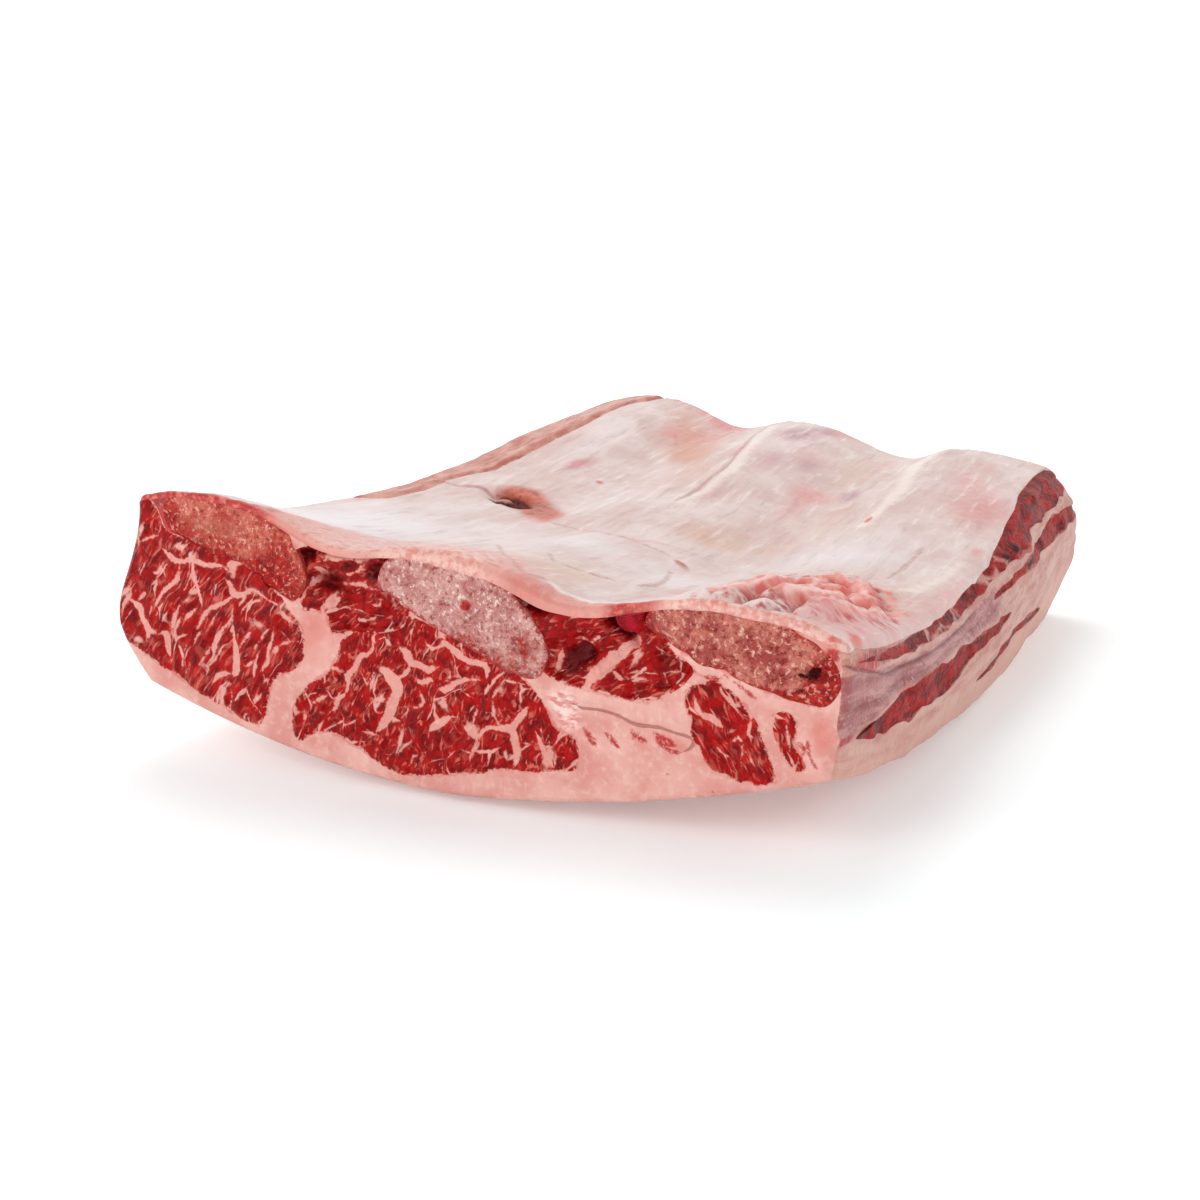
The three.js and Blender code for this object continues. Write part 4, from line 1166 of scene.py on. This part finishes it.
MUSCLE_FAT = {
    "muscle_left": (
        ((-98.6, 62.4, 0.5), (-96.2, 60.2, 0.9), (-92.7, 58.9, 0.8), (-87.7, 59.7, 0.7),
         (-82.7, 58.7, 0.7), (-78.3, 58.9, 0.5), (-74, 56.8, 0.3)),
        ((-88.1, 61.8, 0.5), (-87.9, 56.1, 0.9), (-86.9, 52.4, 0.7), (-86.2, 48.4, 0.5),
         (-85.4, 46, 0.3)),
        ((-92.6, 58.8, 0.9), (-93.4, 53.9, 0.8), (-97.0, 51, 0.7), (-99, 49.6, 0.6),
         (-100.8, 47.3, 0.6), (-102.6, 43.8, 0.5)),
        ((-77, 55.4, 0.5), (-75.2, 53.6, 0.9), (-74.3, 51.2, 1.3), (-70.9, 51.5, 0.8),
         (-67.4, 53.1, 0.5), (-63.7, 51.4, 0.4), (-59.4, 49.8, 0.9)),
        ((-74.4, 50.8, 1.3), (-78, 48.4, 0.7), (-82.6, 46.3, 0.6), (-85.8, 43.4, 0.6),
         (-88, 40.3, 0.5)),
        ((-74.6, 47.9, 0.4), (-75.8, 43.6, 0.5), (-79, 40, 0.6), (-81.3, 36.8, 0.8),
         (-82.5, 33.8, 0.6), (-82.1, 31.3, 0.3)),
        ((-74.9, 42.5, 0.3), (-74.7, 38, 0.7), (-74.5, 33.4, 1.1), (-74.8, 29.6, 1.4),
         (-75.9, 27, 1.2)),
        ((-75.9, 28.2, 1), (-79.9, 27.3, 0.8), (-82.5, 25.3, 0.5), (-83.9, 23.9, 0.2)),
        ((-64.1, 44.5, 0.2), (-68.1, 41.6, 0.3), (-71.8, 37.9, 0.4), (-73.5, 34.4, 0.5)),
        ((-61.3, 43.2, 0.6), (-62, 39.4, 0.4), (-63.6, 35.9, 0.6), (-63.8, 32.6, 0.7),
         (-65.9, 30.3, 0.4), (-64.6, 26.7, 0.3)),
        ((-52.8, 40, 0.2), (-57.2, 39.1, 0.4), (-61.1, 37, 0.4), (-63.2, 34.7, 0.5)),
        ((-112.8, 46.6, 0.4), (-109.3, 44.8, 1), (-107.8, 43.7, 1.1), (-107, 40.8, 1),
         (-105.2, 37.6, 1.2), (-106.5, 34, 0.9)),
        ((-109.2, 45.2, 0.7), (-106.4, 48, 0.6), (-105.3, 49, 0.5)),
        ((-102.1, 36.6, 0.5), (-99, 37, 0.9), (-98.8, 33.2, 1), (-98.1, 28.5, 0.5)),
        ((-93.2, 46.4, 0.7), (-95.5, 42.8, 0.7), (-96.7, 39.7, 0.5), (-98.5, 37.4, 0.7)),
        ((-87.6, 45.7, 0.6), (-90.9, 42.9, 0.7), (-93, 41.4, 0.4)),
        ((-95.1, 34.4, 0.4), (-93.8, 31.2, 0.7), (-94.1, 26.9, 0.5)),
        ((-83.3, 35.8, 0.4), (-84.5, 33.1, 0.4), (-86.7, 30.3, 0.3), (-88.5, 27.6, 0.2)),
        ((-71.6, 25.8, 0.3), (-71.3, 22.5, 0.3), (-69, 19.4, 0.3), (-66.7, 17.2, 0.3)),
        ((-77, 25.1, 0.3), (-76.8, 20.9, 0.4), (-77.6, 17.5, 0.4)),
        ((-68.7, 32.8, 0.4), (-68.3, 30, 0.5), (-69, 27, 0.4)),
        ((-82.1, 24.1, 0.2), (-81.4, 20.4, 0.3), (-78.6, 17.3, 0.4)),
        ((-106.7, 63.1, 0.4), (-102.4, 65.1, 0.6), (-98.8, 65.8, 0.5)),
        ((-100.6, 67.7, 0.5), (-99.2, 67, 0.6)),
        ((-72.7, 31.1, 0.4), (-70.7, 30.9, 0.5), (-67.6, 33.8, 0.2)),
        ((-90.3, 37.5, 0.3), (-92, 34.4, 0.3), (-93.2, 32.1, 0.2)),
        ((-86, 40.1, 0.4), (-88.3, 36.9, 0.4), (-89.5, 34.2, 0.2)),
        ((-90.7, 31.5, 0.2), (-91.7, 28, 0.3), (-92.6, 26.2, 0.2)),
        ((-59, 49.1, 0.3), (-56.7, 46.9, 0.4), (-55.5, 44.2, 0.4)),
        ((-74.8, 44.6, 0.2), (-75.6, 40.4, 0.3), (-74.9, 42.5, 0.3)),
        ((-72.5, 45.2, 0.2), (-71.2, 47.4, 0.3), (-67.6, 49.8, 0.3), (-63.7, 50.2, 0.2)),
        ((-85.1, 46.4, 0.2), (-82.9, 49.5, 0.2), (-81.2, 52.6, 0.2)),
        ((-66.3, 38.9, 0.2), (-68, 36.2, 0.3), (-69.6, 33.6, 0.3)),
        ((-101.5, 44.3, 0.2), (-101.7, 42.6, 0.4), (-102.8, 41.6, 0.3)),
        ((-84.4, 28.1, 0.2), (-86.3, 29.5, 0.2)),
        ((-102.2, 55.2, 0.3), (-100.7, 54.9, 0.4), (-99, 56.3, 0.4), (-98.1, 55.5, 0.3),
         (-97.7, 53.9, 0.3)),
        ((-100.8, 52.8, 0.3), (-99.9, 51.2, 0.4)),
        ((-58.2, 45.9, 0.2), (-54.1, 42.7, 0.3)),
        ((-56.2, 40, 0.2), (-59.4, 42.5, 0.2)),
        ((-55.9, 36, 0.2), (-56.8, 37.5, 0.2)),
    ),
    "muscle_middle": (
        ((-26.3, 46.1, 0.3), (-28.5, 44.1, 0.5), (-28.6, 41.3, 0.5), (-30.8, 38.7, 0.6),
         (-32.9, 38, 0.7), (-35.2, 34.4, 0.9), (-37.5, 31.8, 0.9), (-37.6, 28.9, 0.6),
         (-38.8, 26.4, 0.6), (-41.1, 24.7, 0.7), (-41.7, 22.2, 0.5), (-44, 21, 0.3)),
        ((-50.6, 21.5, 0.7), (-47.1, 23.9, 0.7), (-43.7, 26, 0.4)),
        ((-52.3, 20.8, 0.6), (-51.8, 18.5, 0.7), (-52.5, 16.9, 0.4)),
        ((-27.2, 35.4, 1), (-24.6, 34.3, 1.7), (-22.6, 32.2, 2), (-21.6, 30, 1.7),
         (-23.3, 26, 1.7), (-25.1, 22, 1.5), (-27.3, 18.9, 1), (-29, 16.8, 0.3)),
        ((-28.9, 33.8, 0.7), (-30.6, 31.2, 0.5), (-31.7, 29.7, 0.4)),
        ((-30.8, 25.1, 0.4), (-27.6, 26.4, 0.7), (-24.9, 27.2, 1)),
        ((-20.2, 42.2, 0.4), (-18.1, 40.6, 1), (-17.2, 38, 1.3), (-15.1, 37.7, 1),
         (-12.1, 36.7, 1.1), (-10, 37.4, 0.8), (-8, 38.1, 0.5)),
        ((-21.1, 43.9, 0.3), (-19.7, 41.4, 0.4), (-18.2, 39.7, 0.4)),
        ((-17.2, 38, 1.1), (-18.9, 35, 0.6), (-21, 32.9, 0.7)),
        ((-16.3, 33.9, 0.6), (-14.3, 32.8, 0.7), (-11.1, 34.1, 0.6), (-10.2, 32.4, 0.4)),
        ((-13.4, 45.3, 0.4), (-10.9, 42.8, 0.5), (-7.8, 43.6, 0.4), (-6.3, 44.7, 0.8),
         (-2.8, 42.4, 1.1), (0.6, 40.5, 0.8), (5.6, 40.2, 0.8), (6.1, 38, 0.5), (5.5, 35.7, 0.6)),
        ((-9.7, 32, 0.5), (-6.6, 31.9, 1), (-3.5, 34.1, 0.8), (0.5, 35.5, 0.5), (5, 36.1, 0.6)),
        ((-15.3, 31.7, 0.4), (-14.4, 29.5, 0.4), (-13.9, 27.3, 0.4), (-15.5, 25.7, 0.3),
         (-18.1, 25.8, 0.3), (-20.8, 25, 0.4)),
        ((-12.1, 19.1, 0.5), (-10.5, 21.2, 1), (-7.9, 22.9, 1.2), (-5.8, 24.2, 0.7),
         (-3.7, 24.9, 0.4)),
        ((-1.3, 22.5, 0.9), (1.2, 21.4, 1.5), (3.2, 20.3, 0.8), (5.8, 23, 0.6), (9.8, 23.5, 0.8),
         (12.7, 23.9, 1.2), (14.7, 26, 0.9), (16.7, 28.5, 0.8), (18.7, 31, 0.6)),
        ((13.7, 24, 1.2), (14.1, 20.9, 1.2), (14.6, 16.9, 1), (13.5, 13, 1.2)),
        ((3.2, 20.3, 0.7), (1.6, 16.4, 0.5), (1.1, 14, 0.4)),
        ((-0.8, 19.3, 0.6), (-2.4, 17.2, 0.4)),
        ((20, 24, 0.8), (21.5, 20.6, 0.8), (23.4, 17.2, 0.8), (25.3, 14.8, 0.7)),
        ((-15.9, 12.4, 0.4), (-17.5, 11.3, 0.3), (-17.6, 8.4, 0.3)),
        ((-13.3, 13.8, 0.3), (-13.9, 10.4, 0.2)),
        ((-9.1, 13.9, 0.3), (-8.1, 12.6, 0.2)),
        ((-24.8, 13.5, 0.3), (-22.1, 14.9, 0.3), (-20.5, 17.5, 0.3)),
        ((10.2, 22.2, 0.5), (9.2, 19.8, 0.4)),
        ((17.6, 19.1, 0.4), (18.5, 19.7, 0.4)),
        ((25.8, 18, 0.3), (28.2, 17.9, 0.3)),
        ((6.5, 35.3, 0.2), (6, 33.5, 0.3), (4.4, 31.5, 0.2)),
        ((-6.1, 31, 0.4), (-7, 28.2, 0.3), (-8.3, 26.6, 0.2)),
        ((3.4, 29.5, 0.2), (2.3, 26.2, 0.3), (1.8, 23.3, 0.4)),
        ((-3.6, 30, 0.2), (-3.2, 27.3, 0.2), (-3.2, 24.5, 0.3)),
        ((9.4, 29.4, 0.2), (10.3, 26.8, 0.3), (10.3, 24, 0.3)),
        ((-34.1, 35, 0.3), (-32.1, 31.5, 0.3), (-31.2, 29.3, 0.3)),
        ((-22.5, 20, 0.3), (-19.8, 22.8, 0.2), (-17.1, 25.9, 0.2)),
        ((-41.4, 17.5, 0.3), (-38.6, 19.3, 0.3)),
        ((-28.6, 41.3, 0.3), (-26.9, 43.3, 0.4), (-24.3, 44.5, 0.3)),
        ((-4.9, 38, 0.3), (-5, 35.8, 0.2), (-6, 34.2, 0.3)),
        ((17.8, 36.3, 0.3), (12.9, 36.6, 0.3), (10, 37.1, 0.2)),
        ((-12.3, 28.4, 0.2), (-11.4, 26.2, 0.2), (-12, 23.8, 0.2)),
        ((11.4, 35.1, 0.2), (12.4, 32.5, 0.2)),
        ((-27.4, 16, 0.3), (-31.1, 16.5, 0.3), (-33.8, 16.6, 0.2)),
    ),
    "muscle_right": (
        ((64, 39.7, 0.4), (64.6, 37.2, 0.6), (65.7, 34.8, 0.8), (68.3, 34.1, 1),
         (70.9, 32.5, 0.7), (72, 32.1, 0.5)),
        ((70.8, 42.6, 0.5), (71.3, 40.7, 0.5), (73.4, 38.9, 0.4), (75.5, 36.6, 0.3)),
        ((76.5, 39.3, 0.5), (78.6, 37.5, 0.4), (78.7, 34.5, 0.5), (78.2, 31.4, 0.4),
         (79.8, 30.6, 0.3)),
        ((69.4, 28.1, 0.3), (71.1, 25.8, 0.3), (74.2, 24.2, 0.2)),
        ((74.1, 28.8, 0.7), (75.7, 30, 0.6), (77.3, 28.2, 0.4)),
        ((77.3, 27.2, 0.4), (78.9, 24.9, 0.3), (80.5, 22.5, 0.3)),
        ((62.5, 36.5, 0.4), (63.6, 33.5, 0.4)),
        ((76.7, 28.1, 0.4), (76.6, 24.5, 0.3), (76.4, 21.4, 0.5)),
    ),
    "muscle_sliver": (((87.5, 37, 0.3), (88.2, 33, 0.4), (89, 28, 0.3)),),
}
# Cell size, turn of the bundles, stretch across them, swell and least width of veins, roughness.
GRAIN = {
    "muscle_left": (5.0, 56.0, 0.20, 2.4, -0.02, 1.0),
    "muscle_middle": (7.0, 70.0, 0.60, 2.4, -0.02, 1.0),
    "muscle_right": (6.0, -58.0, 0.30, 2.0, -0.06, 1.0),
    "muscle_sliver": (4.6, -70.0, 0.4, 3.0, 0.0, 1.0),
}

for muscle_name, muscle_corners in MUSCLES.items():
    muscle_ring = ring_of(muscle_corners, 1.5, 0.7 if muscle_name != "muscle_sliver" else 0.3)
    muscle_piece = cut_out(muscle_name + "_meat", run_through(muscle_name + "_run", muscle_ring))
    muscle_place, muscle_points = front_place(muscle_piece)
    read_x, read_z = drifting(muscle_place)
    deep_in = inside_ring(muscle_ring, muscle_place[:, 0], muscle_place[:, 2])
    seam_gap = nearest_seam(MUSCLE_FAT[muscle_name], read_x, read_z)
    bulge = 0.75 * smooth(seam_gap / 2.2) + 0.35 * cloud(muscle_place, 3.0)
    bulge = bulge + 0.5 * cloud(muscle_place + 33.0, 9.0)
    raise_cuts(muscle_piece, muscle_place, muscle_points, smooth(deep_in / 1.8) * (bulge - 0.2))
    note(muscle_piece, "place", muscle_place)
    note(muscle_piece, "inside", deep_in)
    note(muscle_piece, "seam", seam_gap)
    note(muscle_piece, "sunk", 0.0 * deep_in)
    muscle_tones = (shade(106, 0, 1), shade(164, 1, 3))
    meat_finish(muscle_piece, muscle_name, *GRAIN[muscle_name], *muscle_tones)
    settle(muscle_piece, muscle_name)

# ---- The fat ----
# Firm cream-pink fat: the cap that the slab lies on, the wedges between the muscles and the pink
# band under the lining. It is what is left of the slab when every other piece is out.
SHEATH_TOP = ((0, 7), (8, 6.2), (44, 7.4), (84, 6.4), (120, 5.8), (165, 5.6))
SHEATH_BOTTOM = ((0, 25), (12, 22.5), (37, 17.3), (52, 14.4), (74, 12.6), (101, 11.4), (165, 14))
FAT_LINES = (
    ((30.6, 33.1, 0.1), (33.6, 32.1, 0.2), (38.9, 32.2, 0.2), (43.5, 31.4, 0.3), (48.2, 29.8, 0.3),
     (54.5, 29.9, 0.3), (59, 29.1, 0.2), (63.5, 28.1, 0.3), (63.9, 26.6, 0.3), (62.5, 25, 0.2),
     (59.4, 23.4, 0.1)),
)
RED_STREAKS = (
    ((34, 27, 0.2), (36, 24, 0.8), (38.3, 20.9, 0.3)), ((35.5, 26, 0.1), (37.6, 24, 0.4)),
    ((40, 26.4, 0.1), (42, 24.6, 0.6), (44, 22.8, 0.2)), ((46.8, 28.6, 0.3), (48, 26.9, 0.8),
     (51.4, 25.6, 0.2)), ((53, 28.6, 0.5), (56, 26.8, 1.3), (60.4, 25.6, 1.0)),
    ((54.6, 26, 0.3), (58, 24.4, 0.7), (61, 24, 0.3)), ((56, 18.2, 0.2), (58, 17.6, 0.4)),
    ((69, 15.2, 0.2), (70.5, 14.8, 0.3)), ((93, 33, 0.2), (94, 28, 0.4), (96, 25, 0.2)),
    ((63, 46, 0.2), (67, 44.4, 0.6), (71, 44.6, 0.2)), ((72, 45.4, 0.2), (77, 42.6, 0.5), (80, 40.6, 0.2)),
    ((87.4, 36.8, 0.1), (88.4, 31, 0.3), (89.6, 27.6, 0.3)),
    ((91, 31, 0.1), (92.6, 29.4, 0.3), (91.6, 26.4, 0.2)),
)
# Where torn meat clings to the front cut, and where the fat is white and stringy.
CLINGING = (
    (-98.5, 73, 4.6, 6.5, 0, 1.3), (-92.5, 65, 4, 3.2, -35, 1.2), (-86, 62.5, 5, 1.4, -12, 0.7),
    (-88, 78, 20, 1.6, 0, 0.5), (99, 53.5, 2.4, 2.0, -20, 0.9), (60, 62.5, 6, 1.4, 0, 0.9),
)
STRINGY = ((28.5, 33, 5, 3.6, 0, 1.1), (30, 27.6, 4, 3, 0, 0.8), (60, 43, 7, 3, -30, 0.7))
# Torn red places on the right side, as ovals of the distance behind the front and the depth.
SIDE_MEAT = (
    (24, 4.2, 17, 2.7, 0, 1.3), (4, 23.6, 6, 1.5, 0, 1.1), (66, 4.0, 14, 2.6, 0, 0.7),
    (34, 23.6, 16, 3.4, 0, 0.6), (2, 12, 3, 6, 0, 0.4), (12, 5.5, 7, 2.0, 0, 0.5),
)
ROSY_SPOTS = (
    (97, 33, 3.2, 5, 0, 1.0), (-47, 44, 6, 5, 0, 0.8), (61, 43, 6, 4, -30, 0.4),
    (58, 26.6, 5.5, 2.6, -14, 0.9),
    (-50, 37, 5, 6, 0, 0.5), (20, 62, 18, 4, -20, 0.5), (-20, 69, 16, 2, 0, 0.3),
)

# Larger faces where the photo doesn't look: behind this s and away from the right side.
PLAINER_PAST_S = 40.0
MOST_TRIANGLES = 186000
whole_fat = carve("whole_fat", core, taken["room"], "DIFFERENCE")
whole_place, _ = front_place(whole_fat)
spare_detail = (whole_place[:, 1] > PLAINER_PAST_S) & (whole_place[:, 0] < RIGHT_EDGE - 8.0)
spare_group = whole_fat.vertex_groups.new(name="spare_detail")
spare_group.add(np.flatnonzero(spare_detail).tolist(), 1.0, "REPLACE")
thinning = whole_fat.modifiers.new("thinning", "DECIMATE")
thinning.vertex_group = "spare_detail"
triangle_count = len(whole_fat.data.loops) - 2 * len(whole_fat.data.polygons)
thinning.ratio = min(1.0, MOST_TRIANGLES / triangle_count)
thinned = whole_fat.evaluated_get(bpy.context.evaluated_depsgraph_get())
fat = link("fat_bed", bpy.data.meshes.new_from_object(thinned))
fat_place, fat_points = front_place(fat)
fat_x, fat_s, fat_z = fat_place.T
near_meat = np.full(fat_x.shape, 60.0)
for outline in (*BONES.values(), *RIB_MEAT.values(), *MUSCLES.values()):
    near_meat = np.minimum(near_meat, -inside_ring(np.array(outline, float), fat_x, fat_z))
read_x, read_z = drifting(fat_place)
line_gap = nearest_seam(FAT_LINES, read_x, read_z)
streak_gap = nearest_seam(RED_STREAKS, read_x, read_z)
bedding = 0.5 * cloud(fat_place, 9.0) + 0.18 * cloud(fat_place + 13.0, 2.6)
bedding = bedding - 0.28 * bell(np.maximum(line_gap, 0.0) / 0.7)
bedding = bedding + 0.9 * bell(np.hypot((fat_x - 58.5) / 5.0, (fat_z - 26.8) / 2.6))
raise_cuts(fat, fat_place, fat_points, smooth(near_meat / 2.2) * bedding)
fat_below = side_top(fat_s) - fat_points[:, 2]
on_side = smooth((fat_x - RIGHT_EDGE + 5.0) / 3.0) * smooth(fat_s / 2.0) * smooth((LENGTH - fat_s) / 4.0)
sheath_in = np.minimum(fat_below - read_off(SHEATH_TOP, fat_s), read_off(SHEATH_BOTTOM, fat_s) - fat_below)
sheath_in = np.minimum(sheath_in, (158.0 - fat_s) * 0.12)
seam_run = read_off(((0, 4.2), (8, 6.5), (30, 9.4), (74, 8.2), (110, 7.0), (165, 6.4)), fat_s)
crease_run = read_off(((0, 17.0), (20, 15.5), (50, 12.6), (90, 10.4), (140, 9.6)), fat_s)
# Creases along the side: pressed in here, and painted darker as their shade in the finish.
side_creases = bell((fat_below - seam_run) / 0.5) + 0.7 * bell((fat_below - crease_run) / 0.5)
side_creases = side_creases * smooth((150.0 - fat_s) / 30.0)
side_folds = 0.5 * cloud(fat_place * (0.3, 0.16, 1.0), 3.0) + 0.3 * cloud(fat_place, 4.0)
fat_points[:, 0] += on_side * (side_folds * smooth(fat_below / 3.0) - 0.8 * side_creases)
set_corners(fat, fat_points)
note(fat, "place", fat_place)
note(fat, "side", np.maximum(on_side, smooth((fat_x - 100.2) / 1.2) * smooth((LENGTH - fat_s) / 4.0)))
note(fat, "below", fat_below)
note(fat, "sheath", sheath_in)
note(fat, "creases", side_creases)
note(fat, "near", near_meat)
note(fat, "line", line_gap)
note(fat, "streak", streak_gap)
front_share = smooth((8.0 - fat_s) / 6.0)
for area_name, area_spots in {"rosy": ROSY_SPOTS, "clinging": CLINGING, "stringy": STRINGY}.items():
    note(fat, area_name, patches(area_spots, fat_x, fat_z) * front_share)
note(fat, "side_meat", patches(SIDE_MEAT, fat_s, fat_below) * on_side)
note(fat, "low", fat_points[:, 2] - sole(fat_x, fat_s))


def fat_finish():
    """Cut fat on the ends, whiter fat in long streaks on the side, and a thin lilac sheath."""
    start = new_finish("cut_fat", fat)
    place = start.noted("place", "Vector")
    fine = place.speckle(1.3, 4.0, 0.65)
    lumps = place.speckle(4.0, 4.0, 0.6)
    ragged = (lumps - 0.5) * 1.5 + (fine - 0.5) * 0.8
    colour = fat_colour(place)
    rosy = (start.noted("rosy") + ragged * 0.35).between(0.1, 0.9)
    colour = (rosy * 0.6).pick(colour, shade(204, 106, 96))
    stringy = (start.noted("stringy") + ragged * 0.6).between(0.25, 0.9)
    strings = place.wandered(4.0, 3.0).squeezed((0.4, 1.0, 1.0)).speckle(1.6, 4.0, 0.65)
    string_tone = strings.between(0.40, 0.62).pick(shade(204, 118, 112), shade(240, 206, 198))
    colour = (stringy * 0.85).pick(colour, string_tone)
    side_place = place.squeezed((0.5, 0.13, 1.0)).wandered(5.0, 1.5)
    bands = side_place.speckle(3.4, 4.0, 0.6)
    side = bands.between(0.34, 0.66).pick(shade(182, 114, 102), shade(200, 152, 138))
    side = (fine.between(0.55, 0.72) * 0.4).pick(side, shade(228, 204, 192))
    side = (lumps.between(0.58, 0.74) * 0.5).pick(side, shade(196, 104, 94))
    low = (start.noted("below") + ragged * 4.0).between(24.0, 36.0)
    side = (low * 0.55).pick(side, shade(212, 158, 142))
    film = bands.between(0.35, 0.62).pick(shade(148, 72, 74), shade(186, 126, 122))
    dots = place.wandered(1.5, 1.0).veins(2.3)
    film = ((dots + ragged * 0.4).between(0.70, 1.0) * 0.5).pick(film, shade(136, 50, 60))
    film = (fine.between(0.58, 0.72) * 0.5).pick(film, shade(214, 186, 180))
    threads = place.squeezed((1.0, 0.16, 1.0)).speckle(1.1, 3.0, 0.6).between(0.56, 0.68)
    film = (threads * 0.5).pick(film, shade(128, 48, 54))
    specks = place.grit(1.7).between(0.86, 0.93) * lumps.between(0.45, 0.60)
    film = (specks * 0.7).pick(film, shade(134, 30, 44))
    sheath = (start.noted("sheath") + ragged * 1.6).between(-0.2, 0.7)
    side = (sheath * 0.9).pick(side, film)
    # Painted shade: darker in the pressed-in creases along the side.
    crease = (start.noted("creases") + ragged * 0.5).between(0.45, 0.95)
    side = (crease * 0.75).pick(side, shade(128, 60, 58))
    torn_meat = lumps.between(0.38, 0.58).pick(shade(112, 6, 12), shade(176, 34, 34))
    hanging = place.squeezed((0.6, 1.0, 0.25)).wandered(3.0, 1.6).speckle(1.7, 4.0, 0.6)
    torn_meat = (hanging.between(0.52, 0.66) * 0.6).pick(torn_meat, shade(206, 150, 142))
    side_meat = (start.noted("side_meat") + ragged * 0.5).between(0.35, 0.85)
    side = (side_meat * 0.9).pick(side, torn_meat)
    edge = (start.noted("side") + ragged * 0.22).between(0.42, 0.58)
    colour = edge.pick(colour, side)
    cling = (start.noted("clinging") + ragged * 0.7).between(0.3, 0.7)
    cling_tone = lumps.between(0.38, 0.60).pick(shade(132, 4, 5), shade(178, 22, 20))
    cling_tone = (fine.between(0.56, 0.68) * 0.6).pick(cling_tone, shade(220, 116, 102))
    colour = (cling * 0.94).pick(colour, cling_tone)
    touch = (start.noted("near") + ragged * 1.6).between(0.75, -0.25)
    colour = (touch * 0.55).pick(colour, shade(190, 62, 56))
    line = (start.noted("line") + ragged * 0.3).between(0.22, -0.12)
    colour = (line * 0.7).pick(colour, shade(166, 78, 70))
    streak = (start.noted("streak") + ragged * 2.2).between(0.5, -0.3)
    colour = (streak * fine.between(0.30, 0.50) * 0.95).pick(colour, shade(170, 18, 18))
    gloss = 0.36 + fine * 0.2
    height = lumps * 0.5 + fine * 0.4 + line * -0.4 + bands * start.noted("side") * 0.5
    values = {"Base Color": colour, "Roughness": gloss}
    start.dress(values, height, 0.0008)


fat_finish()
settle(fat, "fat")

for spare in [o for o in bpy.context.scene.objects if o.type == "MESH"]:
    if "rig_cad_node" not in spare and "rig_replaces" not in spare:
        bpy.data.objects.remove(spare)

# ---- The table, the light and the camera ----
# A white table, tinted a little cyan against the pink light the meat throws on it, that turns up softly
# far behind, lit by a pale sky and two soft boxes. It also glows by itself as painted light: faintly near
# the slab, which lightens the shadow under it, and fully further out.
TABLE_RADIUS = 3.4
TABLE_FLAT = 1.6
TABLE_RINGS = 40
TABLE_SPOKES = 96


def table_surface():
    """A round sheet: flat in the middle, then turned up by a square law of the distance."""
    rings = np.linspace(0.0, 1.0, TABLE_RINGS + 1)[1:]
    turns = np.linspace(0.0, 2.0 * np.pi, TABLE_SPOKES + 1)[:-1]
    ring, turn = np.meshgrid(rings, turns)
    radius = TABLE_RADIUS * ring
    height = 0.9 * np.clip(radius - TABLE_FLAT, 0.0, None) ** 2
    points = np.stack([radius * np.cos(turn), radius * np.sin(turn), height], axis=-1)
    points = np.vstack([points.reshape(-1, 3), [[0.0, 0.0, 0.0]]])
    spoke = np.arange(TABLE_SPOKES)
    i, j = np.meshgrid(spoke, np.arange(TABLE_RINGS - 1), indexing="ij")
    here = i * TABLE_RINGS + j
    after = (i + 1) % TABLE_SPOKES * TABLE_RINGS + j
    quads = np.stack([here, here + 1, after + 1, after], axis=-1).reshape(-1, 4)
    middle = np.full(TABLE_SPOKES, TABLE_SPOKES * TABLE_RINGS)
    next_spoke = (spoke + 1) % TABLE_SPOKES
    hub = np.stack([middle, spoke * TABLE_RINGS, next_spoke * TABLE_RINGS], axis=-1)
    mesh = bpy.data.meshes.new("table")
    mesh.from_pydata(points.tolist(), [], quads.tolist() + hub.tolist())
    mesh.shade_smooth()
    return link("table", mesh)


table = table_surface()
table_start = new_finish("white_table", table)
table_place = table_start.node("TexCoord", None, None, "Object")
table_reach = table_place.node("VectorMath", {"operation": "LENGTH"}, {0: table_place}, "Value")
# Painted light: the table glows by itself, faintly near the slab to lighten its shadow, and fully further
# out.
table_painted_glow = table_reach.between(0.35, 1.1).pick((0.36, 0.36, 0.36, 1.0), (1.0, 1.0, 1.0, 1.0))
table_values = {"Base Color": (0.885, 0.93, 0.935, 1.0), "Roughness": 0.7}
table_values.update({"Emission Color": table_painted_glow, "Emission Strength": 0.55})
table_shader = table_start.node("BsdfPrincipled", None, table_values)
table_start.node("OutputMaterial", None, {"Surface": table_shader}, None)

sky = bpy.data.worlds.new("studio")
sky.use_nodes = True
sky_light = sky.node_tree.nodes["Background"].inputs
sky_light["Color"].default_value = (1.0, 1.0, 1.0, 1.0)
sky_light["Strength"].default_value = 0.33
bpy.context.scene.world = sky


def soft_box(name, place, aim, width, power):
    """A square lamp at a place, turned to face the aim."""
    lamp = bpy.data.lights.new(name, "AREA")
    lamp.size = width
    lamp.energy = power
    box = link(name, lamp)
    box.location = place
    direction = Vector(aim) - Vector(place)
    box.rotation_euler = direction.to_track_quat("-Z", "Y").to_euler()


soft_box("overhead_box", (-0.35, 0.45, 1.2), (0.0, 0.0, 0.05), 0.8, 6.4)
soft_box("front_box", (-0.45, -1.2, 0.8), (0.0, -0.1, 0.04), 0.7, 4.4)

lens = bpy.data.cameras.new("camera")
lens.lens = 48.0
lens.sensor_width = 36.0
camera = link("camera", lens)
camera.location = (0.20367, -0.49623, 0.1532)
camera.rotation_euler = (np.radians(76.59), 0.0, np.radians(24.88))
bpy.context.scene.camera = camera
bpy.context.scene.view_settings.view_transform = "Standard"
